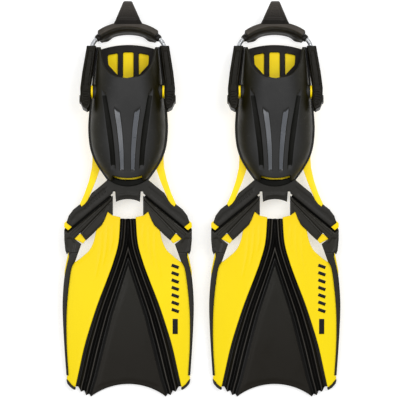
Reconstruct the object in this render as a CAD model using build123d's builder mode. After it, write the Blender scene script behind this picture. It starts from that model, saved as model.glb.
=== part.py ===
"""A pair of open-heel diving fins with hinged wings and a pleated centre.

Every fin is drawn once about its own centre plane (X = 0) and written twice, side by side.
+X is to the right, +Y runs from the blade tip to the heel, +Z is up.  The pair stands with
its heels and blade tips on the plane Z = 0, and the origin is under the middle of the pair.

Outlines are drawn as seen from above, in the proportions of a fin whose blade is
PATTERN_BLADE_WIDTH wide; wide(), long_blade() and foot_y() stretch them to the driving sizes.
"""
from build123d import *
from math import asin, atan2, cos, degrees, hypot, radians, sin, tan
import os

os.makedirs("parts", exist_ok=True)

# ---- driving sizes (millimetres, degrees) ------------------------------------------------
FIN_PITCH = 248.0           # between the centre planes of the two fins
BLADE_WIDTH = 222.0         # over both edge rails
BLADE_LENGTH = 374.0        # from the flex axis at the toes to the pleat tips
POCKET_WIDTH = 127.0        # over the rubber, at the ball of the foot
POCKET_LENGTH = 232.0       # from the toe lip to the heel of the footbed
INSTEP_HEIGHT = 92.0        # top of the vamp above the sole plate
TOE_Y = 30.0                # front end of the foot pocket
FLEX_Y = 38.8               # axis that the whole blade bends about
FLEX_Z = 40.8               # height of that axis over the floor

# ---- walls, plates and fits --------------------------------------------------------------
SOLE_LIFT = 3.0             # underside of the sole plate over the floor, at the heel
SOLE_PLATE = 4.0            # yellow sole plate
FOOTBED_THICKNESS = 4.0
POCKET_WALL = 4.0
GRIP_DEPTH = 3.0            # rubber lugs under the sole plate
STRUT_THICKNESS = 8.0
YOKE_THICKNESS = 10.0
ARM_CORE = 5.0              # yellow core inside the yoke arms
WING_THICKNESS = 4.0
PANEL_THICKNESS = 3.0
PLEAT_SHEET = 1.6
PLEAT_DEPTH = 3.0           # of a fold above or below the blade plane
RAIL_HEIGHT = 13.0
BUMPER_HEIGHT = 14.0
GROOVE = 3.4                # open groove between the fixed arm and the turning wing
LIP_THICKNESS = 1.5         # rubber lip that closes the groove from below
LIP_DROP = 2.0              # clear height between that lip and the fixed arm
LIP_REACH = 5.5
CLEAR = 0.4                 # between parts that move past each other
FLOOR_BLOCK = 400.0         # a cutter larger than any part it trims
LEAD = 1.0                  # a cutter starts this far outside the wall it opens

# ---- heel strap --------------------------------------------------------------------------
PIVOT_BACK = 80.0           # strap posts, ahead of the heel
PIVOT_Z = 57.0
HEEL_ROOM = 33.8            # from the heel to the spring behind it, along the strap
EAR_INSET = 2.1             # outer face of the yellow ears, in from the widest part of the pocket
EAR_RADIUS = 10.5
POST_CLEARANCE = 0.06
HEAD_THICKNESS = 2.6
COVER_WALL = 2.4
COVER_HEIGHT = 20.0
POST_RADIUS = COVER_HEIGHT / 5
HEAD_RADIUS = 0.3 * COVER_HEIGHT    # of the post's head, which has to pass through the buckle
COVER_WIDTH = 18.0
COVER_BACK = 80.0           # rear end of a buckle, behind its post
COVER_FRONT = 34.0          # front end of a buckle, ahead of its post
COVER_EDGE = 3.0
SWIVEL_THICKNESS = 4.6
SPRING_RADIUS = 4.0
SPRING_BORE = 2.7
SPRING_BEND = 40.0          # angle where the tight bend hands over to the wide one
PAD_INSIDE = 4.5            # pad skin towards the foot, from the spring's centre line
PAD_OUTSIDE = 5.5
PAD_BOSS = 6.4              # rubber tube round the spring
PAD_HEIGHT = 41.0
PAD_HALF_ANGLE = 36.0
TAB_LENGTH = 42.2
TAB_THICKNESS = 5.0
TAB_LEAN = 44.0             # of the pull tab above the strap

# ---- proportions that the outlines are drawn in -------------------------------------------
PATTERN_BLADE_WIDTH = 222.0
PATTERN_BLADE_LENGTH = 374.0
PATTERN_POCKET_WIDTH = 127.0
PATTERN_POCKET_LENGTH = 232.0
PATTERN_INSTEP_HEIGHT = 92.0

EAR_FACE = POCKET_WIDTH / 2 - EAR_INSET     # outer face of the yellow ears
COVER_INNER = EAR_FACE + CLEAR              # buckle side that faces the foot
SWIVEL_FACE = COVER_INNER + COVER_WALL      # swivel side that faces the foot
HEEL_Y = TOE_Y + POCKET_LENGTH
PIVOT_Y = HEEL_Y - PIVOT_BACK
BUMPER_Y = -314.0           # middle of the tip bumpers, in the pattern


def wide(x):
    """A distance across the blade, stretched to the real blade."""
    return x * BLADE_WIDTH / PATTERN_BLADE_WIDTH


def long_blade(y):
    """A pattern place along the blade as a real distance from the flex axis."""
    return (y - FLEX_Y) * BLADE_LENGTH / PATTERN_BLADE_LENGTH


def foot_x(x):
    return x * POCKET_WIDTH / PATTERN_POCKET_WIDTH


def foot_y(y):
    return TOE_Y + (y - TOE_Y) * POCKET_LENGTH / PATTERN_POCKET_LENGTH


# The blade plane falls from the flex axis until the bumpers touch the floor.
BLADE_TILT = degrees(atan2(FLEX_Z - BUMPER_HEIGHT / 2, -long_blade(BUMPER_Y)))
# The strap droops until the heel pad's lower edge touches the floor.
PAD_REACH = PIVOT_BACK + HEEL_ROOM
pad_lowest = hypot(PAD_REACH + PAD_OUTSIDE, PAD_HEIGHT / 2)
STRAP_DROOP = degrees(asin(PIVOT_Z / pad_lowest) - atan2(PAD_HEIGHT / 2, PAD_REACH + PAD_OUTSIDE))
# The sole plate climbs from the heel to meet the yoke at the flex axis.
SOLE_TILT = degrees(atan2(FLEX_Z - SOLE_PLATE / 2 - SOLE_LIFT, HEEL_Y - FLEX_Y))

blade_plane = Plane(
    origin=(0, FLEX_Y, FLEX_Z),
    x_dir=(1, 0, 0),
    z_dir=(0, -sin(radians(BLADE_TILT)), cos(radians(BLADE_TILT))),
)
sole_plane = Plane(
    origin=(0, HEEL_Y, SOLE_LIFT),
    x_dir=(1, 0, 0),
    z_dir=(0, sin(radians(SOLE_TILT)), cos(radians(SOLE_TILT))),
)
strap_plane = Plane(
    origin=(0, PIVOT_Y, PIVOT_Z),
    x_dir=(1, 0, 0),
    z_dir=(0, sin(radians(STRAP_DROOP)), cos(radians(STRAP_DROOP))),
)


def on_blade(points):
    """Pattern points seen from above, laid on the tilted blade plane."""
    return [(wide(x), long_blade(y) / cos(radians(BLADE_TILT))) for x, y in points]


def on_sole(points):
    """Pattern points seen from above, laid on the tilted sole plane."""
    return [(foot_x(x), (foot_y(y) - HEEL_Y) / cos(radians(SOLE_TILT))) for x, y in points]


def sole_height(y):
    """Height of the sole plate's underside at a real place along the foot."""
    return SOLE_LIFT + (HEEL_Y - y) * tan(radians(SOLE_TILT))


def mirrored(points):
    return [(-x, y) for x, y in reversed(points)]


def corner_point(start, end, along, aside):
    """A point measured along the line from start to end, then square to it."""
    line = Vector(*end) - Vector(*start)
    forward = line.normalized()
    square = Vector(forward.Y, -forward.X)
    place = Vector(*start) + forward * along + square * aside
    return (place.X, place.Y)


# ---- foot pocket --------------------------------------------------------------------------
# (place along the foot, half width, height of the arch over the sole plate)
POCKET_STATIONS = [
    (258, 51.0, 96), (230, 54.2, 95), (204, 56.8, 92), (178, 59.4, 86), (150, 62.0, 78),
    (120, 63.5, 68), (92, 61.0, 59), (72, 55.0, 52), (56, 46.5, 46), (42, 37.0, 41), (33, 30.5, 37),
]
ARCH_POWER = 2.6
ARCH_ANGLES = (0, 14, 30, 48, 68, 90)
VAMP_REAR = (203, 257)      # where the top opening starts and where it reaches the heel
HORN_HEIGHT = 48.0          # of the side walls at the heel
TOE_OPENING = 27.0          # half width of the water slot over the toes
TOE_EDGE_RADIUS = 80.0
TOE_EDGE_Y = 38.0
TOE_EDGE_SAG = 12.0         # room for that arc's ends
OPENING_LEAD = 8.0          # the cut for the foot starts ahead of the vamp's edge
OPENING_CLEAR = 60.0        # and reaches this far over the vamp, and past the heel


def arch(half, height):
    """Points of one arch of the pocket, from its left foot over the top to its right foot."""
    points = []
    for angle in ARCH_ANGLES:
        across = cos(radians(angle)) if angle < 90 else 0.0
        x = half * across ** (2 / ARCH_POWER)
        z = height * sin(radians(angle)) ** (2 / ARCH_POWER)
        points.append((x, z))
    left = [(-x, z) for x, z in points]
    return left + list(reversed(points[:-1]))


def pocket_loft(inset):
    """The solid inside one skin of the pocket, from the heel to the toes."""
    with BuildPart() as body:
        for y, half, height in POCKET_STATIONS:
            real_y = foot_y(y)
            base = sole_height(real_y) + SOLE_PLATE
            high = height * INSTEP_HEIGHT / PATTERN_INSTEP_HEIGHT - inset - SOLE_PLATE
            with BuildSketch(Plane(origin=(0, real_y, base), x_dir=(1, 0, 0), z_dir=(0, -1, 0))):
                with BuildLine():
                    points = arch(foot_x(half) - inset, high)
                    Spline(*points, tangents=[(0, 1), (0, -1)])
                    Line(points[-1], points[0])
                make_face()
        loft()
    return body.part


pocket_outside = pocket_loft(0)
pocket_inside = pocket_loft(POCKET_WALL)

with BuildPart() as foot_pocket:
    add(pocket_outside)
    add(pocket_inside, mode=Mode.SUBTRACT)
    # the opening for the foot: everything above a line that falls towards the heel
    with BuildSketch(Plane.YZ):
        with BuildLine():
            front, rear = (foot_y(y) for y in VAMP_REAR)
            top = sole_height(front) + INSTEP_HEIGHT
            horn = sole_height(rear) + HORN_HEIGHT
            slope = (horn - top) / (rear - front)
            near = front - OPENING_LEAD
            far = HEEL_Y + OPENING_CLEAR
            Polyline(
                (near, top + (near - front) * slope),
                (far, top + (far - front) * slope),
                (far, top + OPENING_CLEAR),
                (near, top + OPENING_CLEAR),
                close=True,
            )
        make_face()
    extrude(amount=POCKET_WIDTH, both=True, mode=Mode.SUBTRACT)
    # the water slot: the front of the vamp is cut back to a shallow arc between the side walls
    with BuildSketch(Plane.XY):
        with Locations((0, foot_y(0))):
            slot_reach = foot_y(TOE_EDGE_Y + TOE_EDGE_SAG) - foot_y(0)
            Rectangle(2 * foot_x(TOE_OPENING), 2 * slot_reach)
        with Locations((0, foot_y(TOE_EDGE_Y) + TOE_EDGE_RADIUS)):
            Circle(TOE_EDGE_RADIUS, mode=Mode.SUBTRACT)
    extrude(amount=FLOOR_BLOCK, mode=Mode.SUBTRACT)

# ---- sole frame: plate, struts, arm cores, ears and posts ----------------------------------
SOLE_SIDE = [(-46, 253), (-53, 230), (-58, 190), (-63, 150), (-65, 118), (-62, 88), (-52, 62), (-30, 33)]
SOLE_HEEL = (0, 259.5)
STRUT = [
    (-64, 118), (-61.5, 88), (-60, 70), (-61, 54), (-66, 32), (-73.5, 10), (-86, -18),
    (-75, -18), (-62, 13), (-54.5, 32), (-48, 51), (-50, 70), (-52, 90), (-54, 118),
]
ARM_CORE_OUTLINE = [
    (-66, -4), (-84, -16), (-96, -29), (-107.6, -38.8), (-107.9, -45.5), (-101, -50.5), (-68, -22),
]
STRUT_TOP = 118
STRUT_FOOT = -15


def strut_plane():
    """Plane through the middle of the struts, from the sole plate to the blade plane."""
    top_y = foot_y(STRUT_TOP)
    top_z = sole_height(top_y) + SOLE_PLATE / 2
    foot_place = long_blade(STRUT_FOOT)
    foot_z = FLEX_Z + foot_place * tan(radians(BLADE_TILT))
    tilt = atan2(foot_z - top_z, top_y - (FLEX_Y + foot_place))
    return Plane(origin=(0, top_y, top_z), x_dir=(1, 0, 0), z_dir=(0, sin(tilt), cos(tilt)))


def strut_point(x, y):
    """The upper half of a strut follows the foot, its lower half follows the blade."""
    if y > FLEX_Y:
        real = (foot_x(x), foot_y(y))
    else:
        real = (wide(x), FLEX_Y + long_blade(y))
    return (real[0], real[1] - foot_y(STRUT_TOP))


with BuildPart() as sole_frame:
    with BuildSketch(sole_plane):
        with BuildLine():
            side = on_sole(SOLE_SIDE)
            heel = on_sole([SOLE_HEEL])[0]
            Spline(*side)
            Line(side[-1], mirrored(side)[0])
            Spline(*mirrored(side))
            ThreePointArc(mirrored(side)[-1], heel, side[0])
        make_face()
    extrude(amount=SOLE_PLATE)
    # struts down both sides to the ends of the yoke
    with BuildSketch(strut_plane().offset(-STRUT_THICKNESS / 2)):
        with BuildLine():
            Polyline(*[strut_point(x, y) for x, y in STRUT], close=True)
        make_face()
        mirror(about=Plane.YZ)
    extrude(amount=STRUT_THICKNESS)
    # arm cores, seen as the yellow notches at the ends of the yoke
    with BuildSketch(blade_plane.offset(-ARM_CORE / 2)):
        with BuildLine():
            Polyline(*on_blade(ARM_CORE_OUTLINE), close=True)
        make_face()
        mirror(about=Plane.YZ)
    extrude(amount=ARM_CORE)
    # ears that carry the strap posts
    with BuildSketch(Plane.YZ.offset(-EAR_FACE)):
        with Locations((PIVOT_Y, PIVOT_Z)):
            Circle(EAR_RADIUS)
        with BuildLine():
            Polyline(
                (PIVOT_Y - EAR_RADIUS, PIVOT_Z),
                (PIVOT_Y + EAR_RADIUS, PIVOT_Z),
                (PIVOT_Y + EAR_RADIUS, sole_height(PIVOT_Y + EAR_RADIUS)),
                (PIVOT_Y - EAR_RADIUS, sole_height(PIVOT_Y - EAR_RADIUS)),
                close=True,
            )
        make_face()
    extrude(amount=2 * EAR_FACE)
    with Locations((0, PIVOT_Y, PIVOT_Z)):
        head_inside = SWIVEL_FACE + SWIVEL_THICKNESS + CLEAR
        Cylinder(POST_RADIUS, 2 * head_inside, rotation=(0, 90, 0))
    for sign in (-1, 1):
        with Locations((sign * (head_inside + HEAD_THICKNESS / 2), PIVOT_Y, PIVOT_Z)):
            Cylinder(HEAD_RADIUS, HEAD_THICKNESS, rotation=(0, 90, 0))
    # the pocket stands on the plate, between the ears
    add(pocket_outside, mode=Mode.SUBTRACT)

# ---- footbed and grips ---------------------------------------------------------------------
FOOTBED_SIDE = [
    (-46, 254.5), (-50.5, 230), (-53.5, 204), (-57, 165), (-59, 125), (-56, 90), (-46, 66), (-31, 50),
]
FOOTBED_HEEL = (0, 262)
SIDE_WINDOW = [(-35, 244.6), (-17.7, 248), (-17.7, 210.3), (-34, 228.3)]
WINDOW_FRONT = 204.5
WINDOW_REAR = 249.4
WINDOW_WIDTH = 17.6
WINDOW_CORNER = 2.0

with BuildPart() as footbed:
    with BuildSketch(sole_plane.offset(SOLE_PLATE)):
        with BuildLine():
            side = on_sole(FOOTBED_SIDE)
            heel = on_sole([FOOTBED_HEEL])[0]
            Spline(*side)
            Line(side[-1], mirrored(side)[0])
            Spline(*mirrored(side))
            ThreePointArc(mirrored(side)[-1], heel, side[0])
        make_face()
    extrude(amount=FOOTBED_THICKNESS)
    with BuildSketch(sole_plane.offset(SOLE_PLATE)) as windows:
        with BuildLine():
            Polyline(*on_sole(SIDE_WINDOW), close=True)
        make_face()
        mirror(about=Plane.YZ)
        front, rear = (on_sole([(0, y)])[0][1] for y in (WINDOW_FRONT, WINDOW_REAR))
        with Locations((0, (front + rear) / 2)):
            Rectangle(foot_x(WINDOW_WIDTH), rear - front)
        fillet(windows.vertices(), WINDOW_CORNER)
    extrude(amount=FOOTBED_THICKNESS, mode=Mode.SUBTRACT)
    add(foot_pocket.part, mode=Mode.SUBTRACT)

GRIP_PLACES = [(60, 62), (80, 84), (100, 92), (120, 96), (140, 94), (160, 90), (186, 82), (206, 78)]
GRIP_LENGTH = 9.0
HEEL_GRIP = (222, 258)
HEEL_GRIP_WIDTH = 70.0
with BuildPart() as sole_grips:
    with BuildSketch(sole_plane):
        for y, width in GRIP_PLACES:
            with Locations(on_sole([(0, y)])[0]):
                Rectangle(foot_x(width), GRIP_LENGTH)
    extrude(amount=-GRIP_DEPTH)
    # the heel lug is deeper and is cut level, so that it stands flat on the floor
    with BuildSketch(sole_plane):
        front, rear = (on_sole([(0, y)])[0][1] for y in HEEL_GRIP)
        with Locations((0, (front + rear) / 2)):
            Rectangle(foot_x(HEEL_GRIP_WIDTH), rear - front)
    extrude(amount=-3 * GRIP_DEPTH)
    with Locations((0, 0, -FLOOR_BLOCK / 2)):
        Box(FLOOR_BLOCK, 2 * FLOOR_BLOCK, FLOOR_BLOCK, mode=Mode.SUBTRACT)

# ---- yoke: the rubber wishbone that carries the blade --------------------------------------
ARM_TOP = [
    (-33.3, 35), (-48.3, 22.1), (-61.4, 11.6), (-67.8, 0.2), (-72.8, -6.3), (-78.4, -10.4),
    (-80.4, -6.8), (-92.3, -16), (-100.3, -26.7), (-104, -38.1),
]
ARM_EDGE = [(-94.7, -45.4), (-26, 11.2)]    # the edge along the groove
BRIDGE_SLIT = [(-25.3, 14.5), (-21.6, 14.5), (-20.2, -3)]
BRIDGE_MIDDLE = (0, 1.7)
LIP_REAR = [(-32, 42.5), (0, 34.2)]
LIP_FRONT = [(-33, 35), (0, 23.5)]
LIP_HEIGHT = 4.0


with BuildPart() as yoke:
    with BuildSketch(blade_plane.offset(-YOKE_THICKNESS / 2)) as yoke_outline:
        with BuildLine():
            left = on_blade(ARM_TOP + ARM_EDGE + BRIDGE_SLIT)
            Polyline(*left)
            ThreePointArc(left[-1], on_blade([BRIDGE_MIDDLE])[0], mirrored(left)[0])
            Polyline(*mirrored(left))
            Line(mirrored(left)[-1], left[0])
        make_face()
    extrude(amount=YOKE_THICKNESS)
    with BuildSketch(blade_plane.offset(YOKE_THICKNESS / 2)):
        with BuildLine():
            rear = on_blade(LIP_REAR)
            front = on_blade(LIP_FRONT)
            ThreePointArc(rear[0], rear[1], mirrored(rear)[1])
            Line(mirrored(rear)[1], mirrored(front)[1])
            ThreePointArc(mirrored(front)[1], front[1], front[0])
            Line(front[0], rear[0])
        make_face()
    extrude(amount=LIP_HEIGHT)
    add(sole_frame.part, mode=Mode.SUBTRACT)
    add(foot_pocket.part, mode=Mode.SUBTRACT)

# ---- blade: wings, arms, rails, bumpers -----------------------------------------------------
WING_INNER = [
    (-12.9, -29), (-16.2, -71.6), (-24.8, -104), (-35.7, -134.3), (-50.8, -173.4), (-63.9, -212.5),
    (-74.8, -249.4), (-84.5, -292.7), (-89.9, -317),
]
WING_OUTER = [
    (-92, -317.8), (-102.9, -308.5), (-104.8, -300.4), (-102.3, -296), (-103.4, -290), (-106, -249.4),
    (-107, -205.7), (-107, -173.4), (-107.8, -141), (-107.6, -120), (-102.2, -93), (-100.6, -86.5),
    (-98, -86.5), (-93, -101), (-88.9, -104.5),
]
VENT_EDGE = [(-80.5, -98.5), (-73, -92), (-66.5, -86), (-61, -77), (-57, -66), (-54.5, -54)]
WING_ROOT = [
    (-53, -47.5), (-62, -56.2), (-69.8, -63.5), (-71.1, -67.3), (-76, -73.4), (-91, -65.6), (-82.6, -57.5),
    (-79.3, -56.8), (-31, -6.8), (-28, -9), (-28, -22), (-26, -26),
]
WING_ARM = [
    (-25.5, 4.8), (-25.5, -25), (-27.2, -25), (-34, -19.7), (-39.4, -33.2), (-44.2, -42.2), (-51.7, -49.3),
    (-61.4, -59.2), (-71.1, -68), (-80.9, -55.1), (-27.9, -0.2),
]
RAIL_HEAD = [
    (-25.5, 11), (-25.5, 4.8), (-27.9, -0.2), (-80.9, -55.1), (-91, -65.6), (-79, -74.6), (-88.9, -102),
    (-92, -106), (-99.6, -106), (-100.5, -87), (-103.5, -92), (-106.1, -85), (-107.8, -67.3), (-108.1, -50),
]
RAIL_INNER = [
    (-84, -88), (-88.9, -102), (-95.4, -114.9), (-99.6, -140.9), (-102.9, -173.4), (-104.4, -205.7),
    (-104, -249.4), (-101.3, -297),
]
RAIL_OUTER = [
    (-105.1, -297), (-108.3, -249.4), (-110.5, -205.7), (-111, -173.4), (-109, -141), (-105.9, -120),
    (-98, -88),
]
BUMPER = [
    (-105.4, -303), (-103.8, -311), (-97.5, -318), (-90.5, -322.5), (-88.9, -318.6), (-97, -312.5),
    (-101.5, -306),
]
ARM_THICKNESS = 9.6
WEB_WIDTH = 3.5             # of the wall that carries the groove lip
LIP_START = 5.0             # the lip stops short of both ends of the groove
LIP_END = 4.0



def groove_strip(first, second):
    """Corners of a strip along the fixed arm's edge, between two distances from that edge."""
    edge_end, edge_start = on_blade(ARM_EDGE)
    length = (Vector(*edge_end) - Vector(*edge_start)).length
    places = [(LIP_START, first), (length - LIP_END, first), (length - LIP_END, second), (LIP_START, second)]
    return [corner_point(edge_start, edge_end, along, aside) for along, aside in places]


with BuildPart() as left_wing:
    with BuildSketch(blade_plane.offset(-WING_THICKNESS / 2)):
        with BuildLine():
            inner = on_blade(WING_INNER)
            rest = on_blade(WING_OUTER + VENT_EDGE + WING_ROOT)
            Spline(*inner)
            Polyline(inner[-1], *rest, inner[0])
        make_face()
    extrude(amount=WING_THICKNESS)

with BuildPart() as left_wing_arm:
    with BuildSketch(blade_plane.offset(-ARM_THICKNESS / 2)):
        with BuildLine():
            Polyline(*on_blade(WING_ARM), close=True)
        make_face()
    extrude(amount=ARM_THICKNESS)
    add(left_wing.part, mode=Mode.SUBTRACT)

with BuildPart() as left_edge_rail:
    with BuildSketch(blade_plane.offset(-ARM_THICKNESS / 2)):
        with BuildLine():
            Polyline(*on_blade(RAIL_HEAD), close=True)
        make_face()
    extrude(amount=ARM_THICKNESS)
    with BuildSketch(blade_plane.offset(-RAIL_HEIGHT / 2)):
        with BuildLine():
            inner = on_blade(RAIL_INNER)
            outer = on_blade(RAIL_OUTER)
            Spline(*inner)
            Line(inner[-1], outer[0])
            Spline(*outer)
            Line(outer[-1], inner[0])
        make_face()
    extrude(amount=RAIL_HEIGHT)
    # the groove stays open all along the fixed arm and its yellow core
    with BuildSketch(blade_plane.offset(-RAIL_HEIGHT)) as groove:
        with BuildLine():
            Polyline(*on_blade(ARM_TOP + ARM_EDGE), close=True)
        make_face()
        with BuildLine():
            Polyline(*on_blade(ARM_CORE_OUTLINE), close=True)
        make_face()
        offset(amount=GROOVE, kind=Kind.INTERSECTION)
    extrude(amount=2 * RAIL_HEIGHT, mode=Mode.SUBTRACT)
    # a lip under the groove, carried by a web below the tongue
    lip_top = -YOKE_THICKNESS / 2 - LIP_DROP
    for reach, height in ((LIP_REACH - GROOVE, LIP_THICKNESS), (-GROOVE, ARM_THICKNESS / 2 + lip_top)):
        with BuildSketch(blade_plane.offset(lip_top)):
            with BuildLine():
                Polyline(*groove_strip(-(GROOVE + WEB_WIDTH), reach), close=True)
            make_face()
        extrude(amount=-height)
    add(left_wing.part, mode=Mode.SUBTRACT)
    add(left_wing_arm.part, mode=Mode.SUBTRACT)

with BuildPart() as left_tip_bumper:
    with BuildSketch(blade_plane.offset(-BUMPER_HEIGHT / 2)):
        with BuildLine():
            Polyline(*on_blade(BUMPER), close=True)
        make_face()
    extrude(amount=BUMPER_HEIGHT)
    add(left_wing.part, mode=Mode.SUBTRACT)
    with Locations((0, 0, -FLOOR_BLOCK / 2)):
        Box(2 * FLOOR_BLOCK, 3 * FLOOR_BLOCK, FLOOR_BLOCK, mode=Mode.SUBTRACT)

# ---- centre panel and pleats ----------------------------------------------------------------
PANEL_SIDE = [(0, -110.5), (-27, -195), (-54.2, -303.6), (-63.9, -334)]
PANEL_MIDDLE = (0, -312.3)
PLEAT_TOP = -31.5
PLEAT_PLACES = (-29, -71.6, -104, -134.3, -173.4, -212.5, -249.4, -292.7, -336)
PLEAT_FOLDS = (0, -1, 1, -1, 1, -1, 0)      # heights of the folds from the wing to the panel
PLEAT_BITE = 1.0            # drawn into the wing, then cut back to its edge
MOUTH_CUT = [(-200, PLEAT_TOP), (-200, 0), (60, 0), (60, -400), (0, -400), (0, PLEAT_TOP)]
TIP_CUT = [(-96, -314), (-60, -338), (0, -338), (0, -500), (-200, -500), (-200, -314)]


def along(outline, y):
    """Distance across at a given place along an outline, carried on past its ends."""
    pairs = list(zip(outline, outline[1:]))
    for start, end in pairs:
        if y >= end[1]:
            break
    share = (y - start[1]) / (end[1] - start[1])
    return start[0] + (end[0] - start[0]) * share


def pleat_section(y):
    """The folded sheet, cut square across the blade: upper side, then lower side."""
    first = along(WING_INNER, y)
    if y < PANEL_SIDE[0][1]:
        last = along(PANEL_SIDE, y)
    else:
        last = first + PANEL_SIDE[0][0] - along(WING_INNER, PANEL_SIDE[0][1])
    folds = len(PLEAT_FOLDS) - 1
    upper = []
    lower = []
    for number, height in enumerate(PLEAT_FOLDS):
        x = wide(first + (last - first) * number / folds)
        if number == 0:
            x -= PLEAT_BITE
        upper.append((x, height * PLEAT_DEPTH + PLEAT_SHEET / 2))
        lower.append((x, height * PLEAT_DEPTH - PLEAT_SHEET / 2))
    return upper + list(reversed(lower))


with BuildPart() as centre_panel:
    with BuildSketch(blade_plane.offset(-PANEL_THICKNESS / 2)):
        with BuildLine():
            side = on_blade(PANEL_SIDE)
            Polyline(*side)
            ThreePointArc(side[-1], on_blade([PANEL_MIDDLE])[0], mirrored(side)[0])
            Polyline(*mirrored(side))
        make_face()
    extrude(amount=PANEL_THICKNESS)

with BuildPart() as left_bellows:
    for y in PLEAT_PLACES:
        origin = blade_plane.from_local_coords((0, on_blade([(0, y)])[0][1], 0))
        with BuildSketch(Plane(origin=origin, x_dir=(1, 0, 0), z_dir=-blade_plane.y_dir)):
            with BuildLine():
                Polyline(*pleat_section(y), close=True)
            make_face()
    loft(ruled=True)
    # trimmed at the mouth, on the centre plane, at the pleat tips, and to its two neighbours
    trim_depth = 4 * PLEAT_DEPTH
    with BuildSketch(blade_plane.offset(-trim_depth)):
        with BuildLine():
            Polyline(*on_blade(MOUTH_CUT), close=True)
        make_face()
        with BuildLine():
            Polyline(*on_blade(TIP_CUT), close=True)
        make_face()
    extrude(amount=2 * trim_depth, mode=Mode.SUBTRACT)
    add(left_wing.part, mode=Mode.SUBTRACT)
    add(left_tip_bumper.part, mode=Mode.SUBTRACT)
    add(centre_panel.part, mode=Mode.SUBTRACT)

# ---- strap: buckles, buttons, spring and heel pad -------------------------------------------
# Everything here lies on the strap plane: X across, Y back along the strap, Z square to it.
COVER_OUTER = COVER_INNER + COVER_WIDTH
REAR_MIDDLE = EAR_FACE + 0.1    # middle of a buckle's rear end, from the centre plane
REAR_WIDTH = 16.0
COVER_OUTLINE = [
    (-(REAR_MIDDLE - REAR_WIDTH / 2), COVER_BACK),
    (-(REAR_MIDDLE + REAR_WIDTH / 2), COVER_BACK),
    (-(COVER_OUTER - 3), 0.4 * COVER_BACK),
    (-COVER_OUTER, 4),
    (-(COVER_OUTER - 1), -0.6 * COVER_FRONT),
    (-(COVER_OUTER - 5), 4 - COVER_FRONT),
    (-(COVER_OUTER - 12), -COVER_FRONT),
    (-(COVER_INNER + 3), 2 - COVER_FRONT),
    (-COVER_INNER, 10 - COVER_FRONT),
    (-COVER_INNER, 12),
    (-(REAR_MIDDLE - 4.5), 0.6 * COVER_BACK),
]
KEYHOLE = -11.0             # hole that the post's head passes, from the post
KEYHOLE_CLEAR = 0.6
BUTTON_START = -20.0
BUTTON_END = -8.0
BUTTON_HALF = COVER_HEIGHT / 2 - COVER_WALL - 3 * CLEAR
BUTTON_FACE = 5.0           # thickness of the button's pad
BUTTON_PROUD = 1.0
BUTTON_RIB = 1.0
BUTTON_FLANGE = 1.0
BUTTON_RIBS = 5
LOCK_RADIUS = 0.6 * HEAD_RADIUS
SOCKET_START = 46.0         # where the swivel widens to hold the spring
SPRING_INSIDE = 12.0        # length of spring hidden in the buckle
FLANGE_RADIUS = 4.8
FLANGE_LENGTH = 3.0
STEM_RADIUS = 2.4
STEM_LENGTH = 9.0
TAB_SIDE = [(-25, 0), (-21, 8), (-7.1, TAB_LENGTH)]
TAB_OVERLAP = 3.0           # of the tab's root and the pad

# spring path: straight out of the buckle, one tight arc, one wide arc round the heel
spring_start = (-(REAR_MIDDLE + 1.0), COVER_BACK - SPRING_INSIDE)
spring_exit = (-(REAR_MIDDLE - 0.6), COVER_BACK + 1)
heading = degrees(atan2(spring_exit[1] - spring_start[1], spring_exit[0] - spring_start[0]))
reach_across = -spring_exit[0]
reach_back = PAD_REACH - spring_exit[1]
# the two arcs turn from the heading to square across, and cover both reaches together
tight_across = sin(radians(heading)) - sin(radians(SPRING_BEND))
tight_back = cos(radians(SPRING_BEND)) - cos(radians(heading))
wide_across = sin(radians(SPRING_BEND))
wide_back = 1 - cos(radians(SPRING_BEND))
share = tight_across * wide_back - tight_back * wide_across
tight_radius = (reach_across * wide_back - reach_back * wide_across) / share
wide_radius = (reach_across - tight_across * tight_radius) / wide_across

with BuildLine() as flat_path:
    out = Line(spring_start, spring_exit)
    bend = JernArc(out @ 1, out % 1, tight_radius, SPRING_BEND - heading)
    back = JernArc(bend @ 1, bend % 1, wide_radius, -2 * SPRING_BEND)
    far_bend = JernArc(back @ 1, back % 1, tight_radius, SPRING_BEND - heading)
    Line(far_bend @ 1, far_bend @ 1 + (far_bend % 1) * out.length)
spring_path = strap_plane.location * flat_path.line
spring_end = Plane(origin=spring_path @ 0, z_dir=spring_path % 0)

with BuildPart() as spring_channel:
    with BuildSketch(spring_end):
        Circle(SPRING_RADIUS + CLEAR)
    sweep(path=spring_path)

with BuildPart() as strap_spring:
    with BuildSketch(spring_end):
        Circle(SPRING_RADIUS)
        Circle(SPRING_BORE, mode=Mode.SUBTRACT)
    sweep(path=spring_path)


def beside_post(x):
    """A plane square to the post's axis, seen from outside the left buckle: X along the strap."""
    origin = strap_plane.from_local_coords((-x, 0, 0))
    return Plane(origin=origin, x_dir=strap_plane.y_dir, z_dir=(-1, 0, 0))


with BuildPart() as left_spring_anchor:
    socket_depth = (COVER_BACK - SPRING_INSIDE - SOCKET_START) / (out % 0).Y
    with BuildSketch(spring_end):
        Circle(SPRING_RADIUS)
    extrude(amount=-socket_depth)
    with BuildSketch(spring_end):
        Circle(STEM_RADIUS)
    extrude(amount=STEM_LENGTH)
    with BuildSketch(spring_end.offset(-socket_depth)):
        Circle(FLANGE_RADIUS)
    extrude(amount=-FLANGE_LENGTH)

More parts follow.
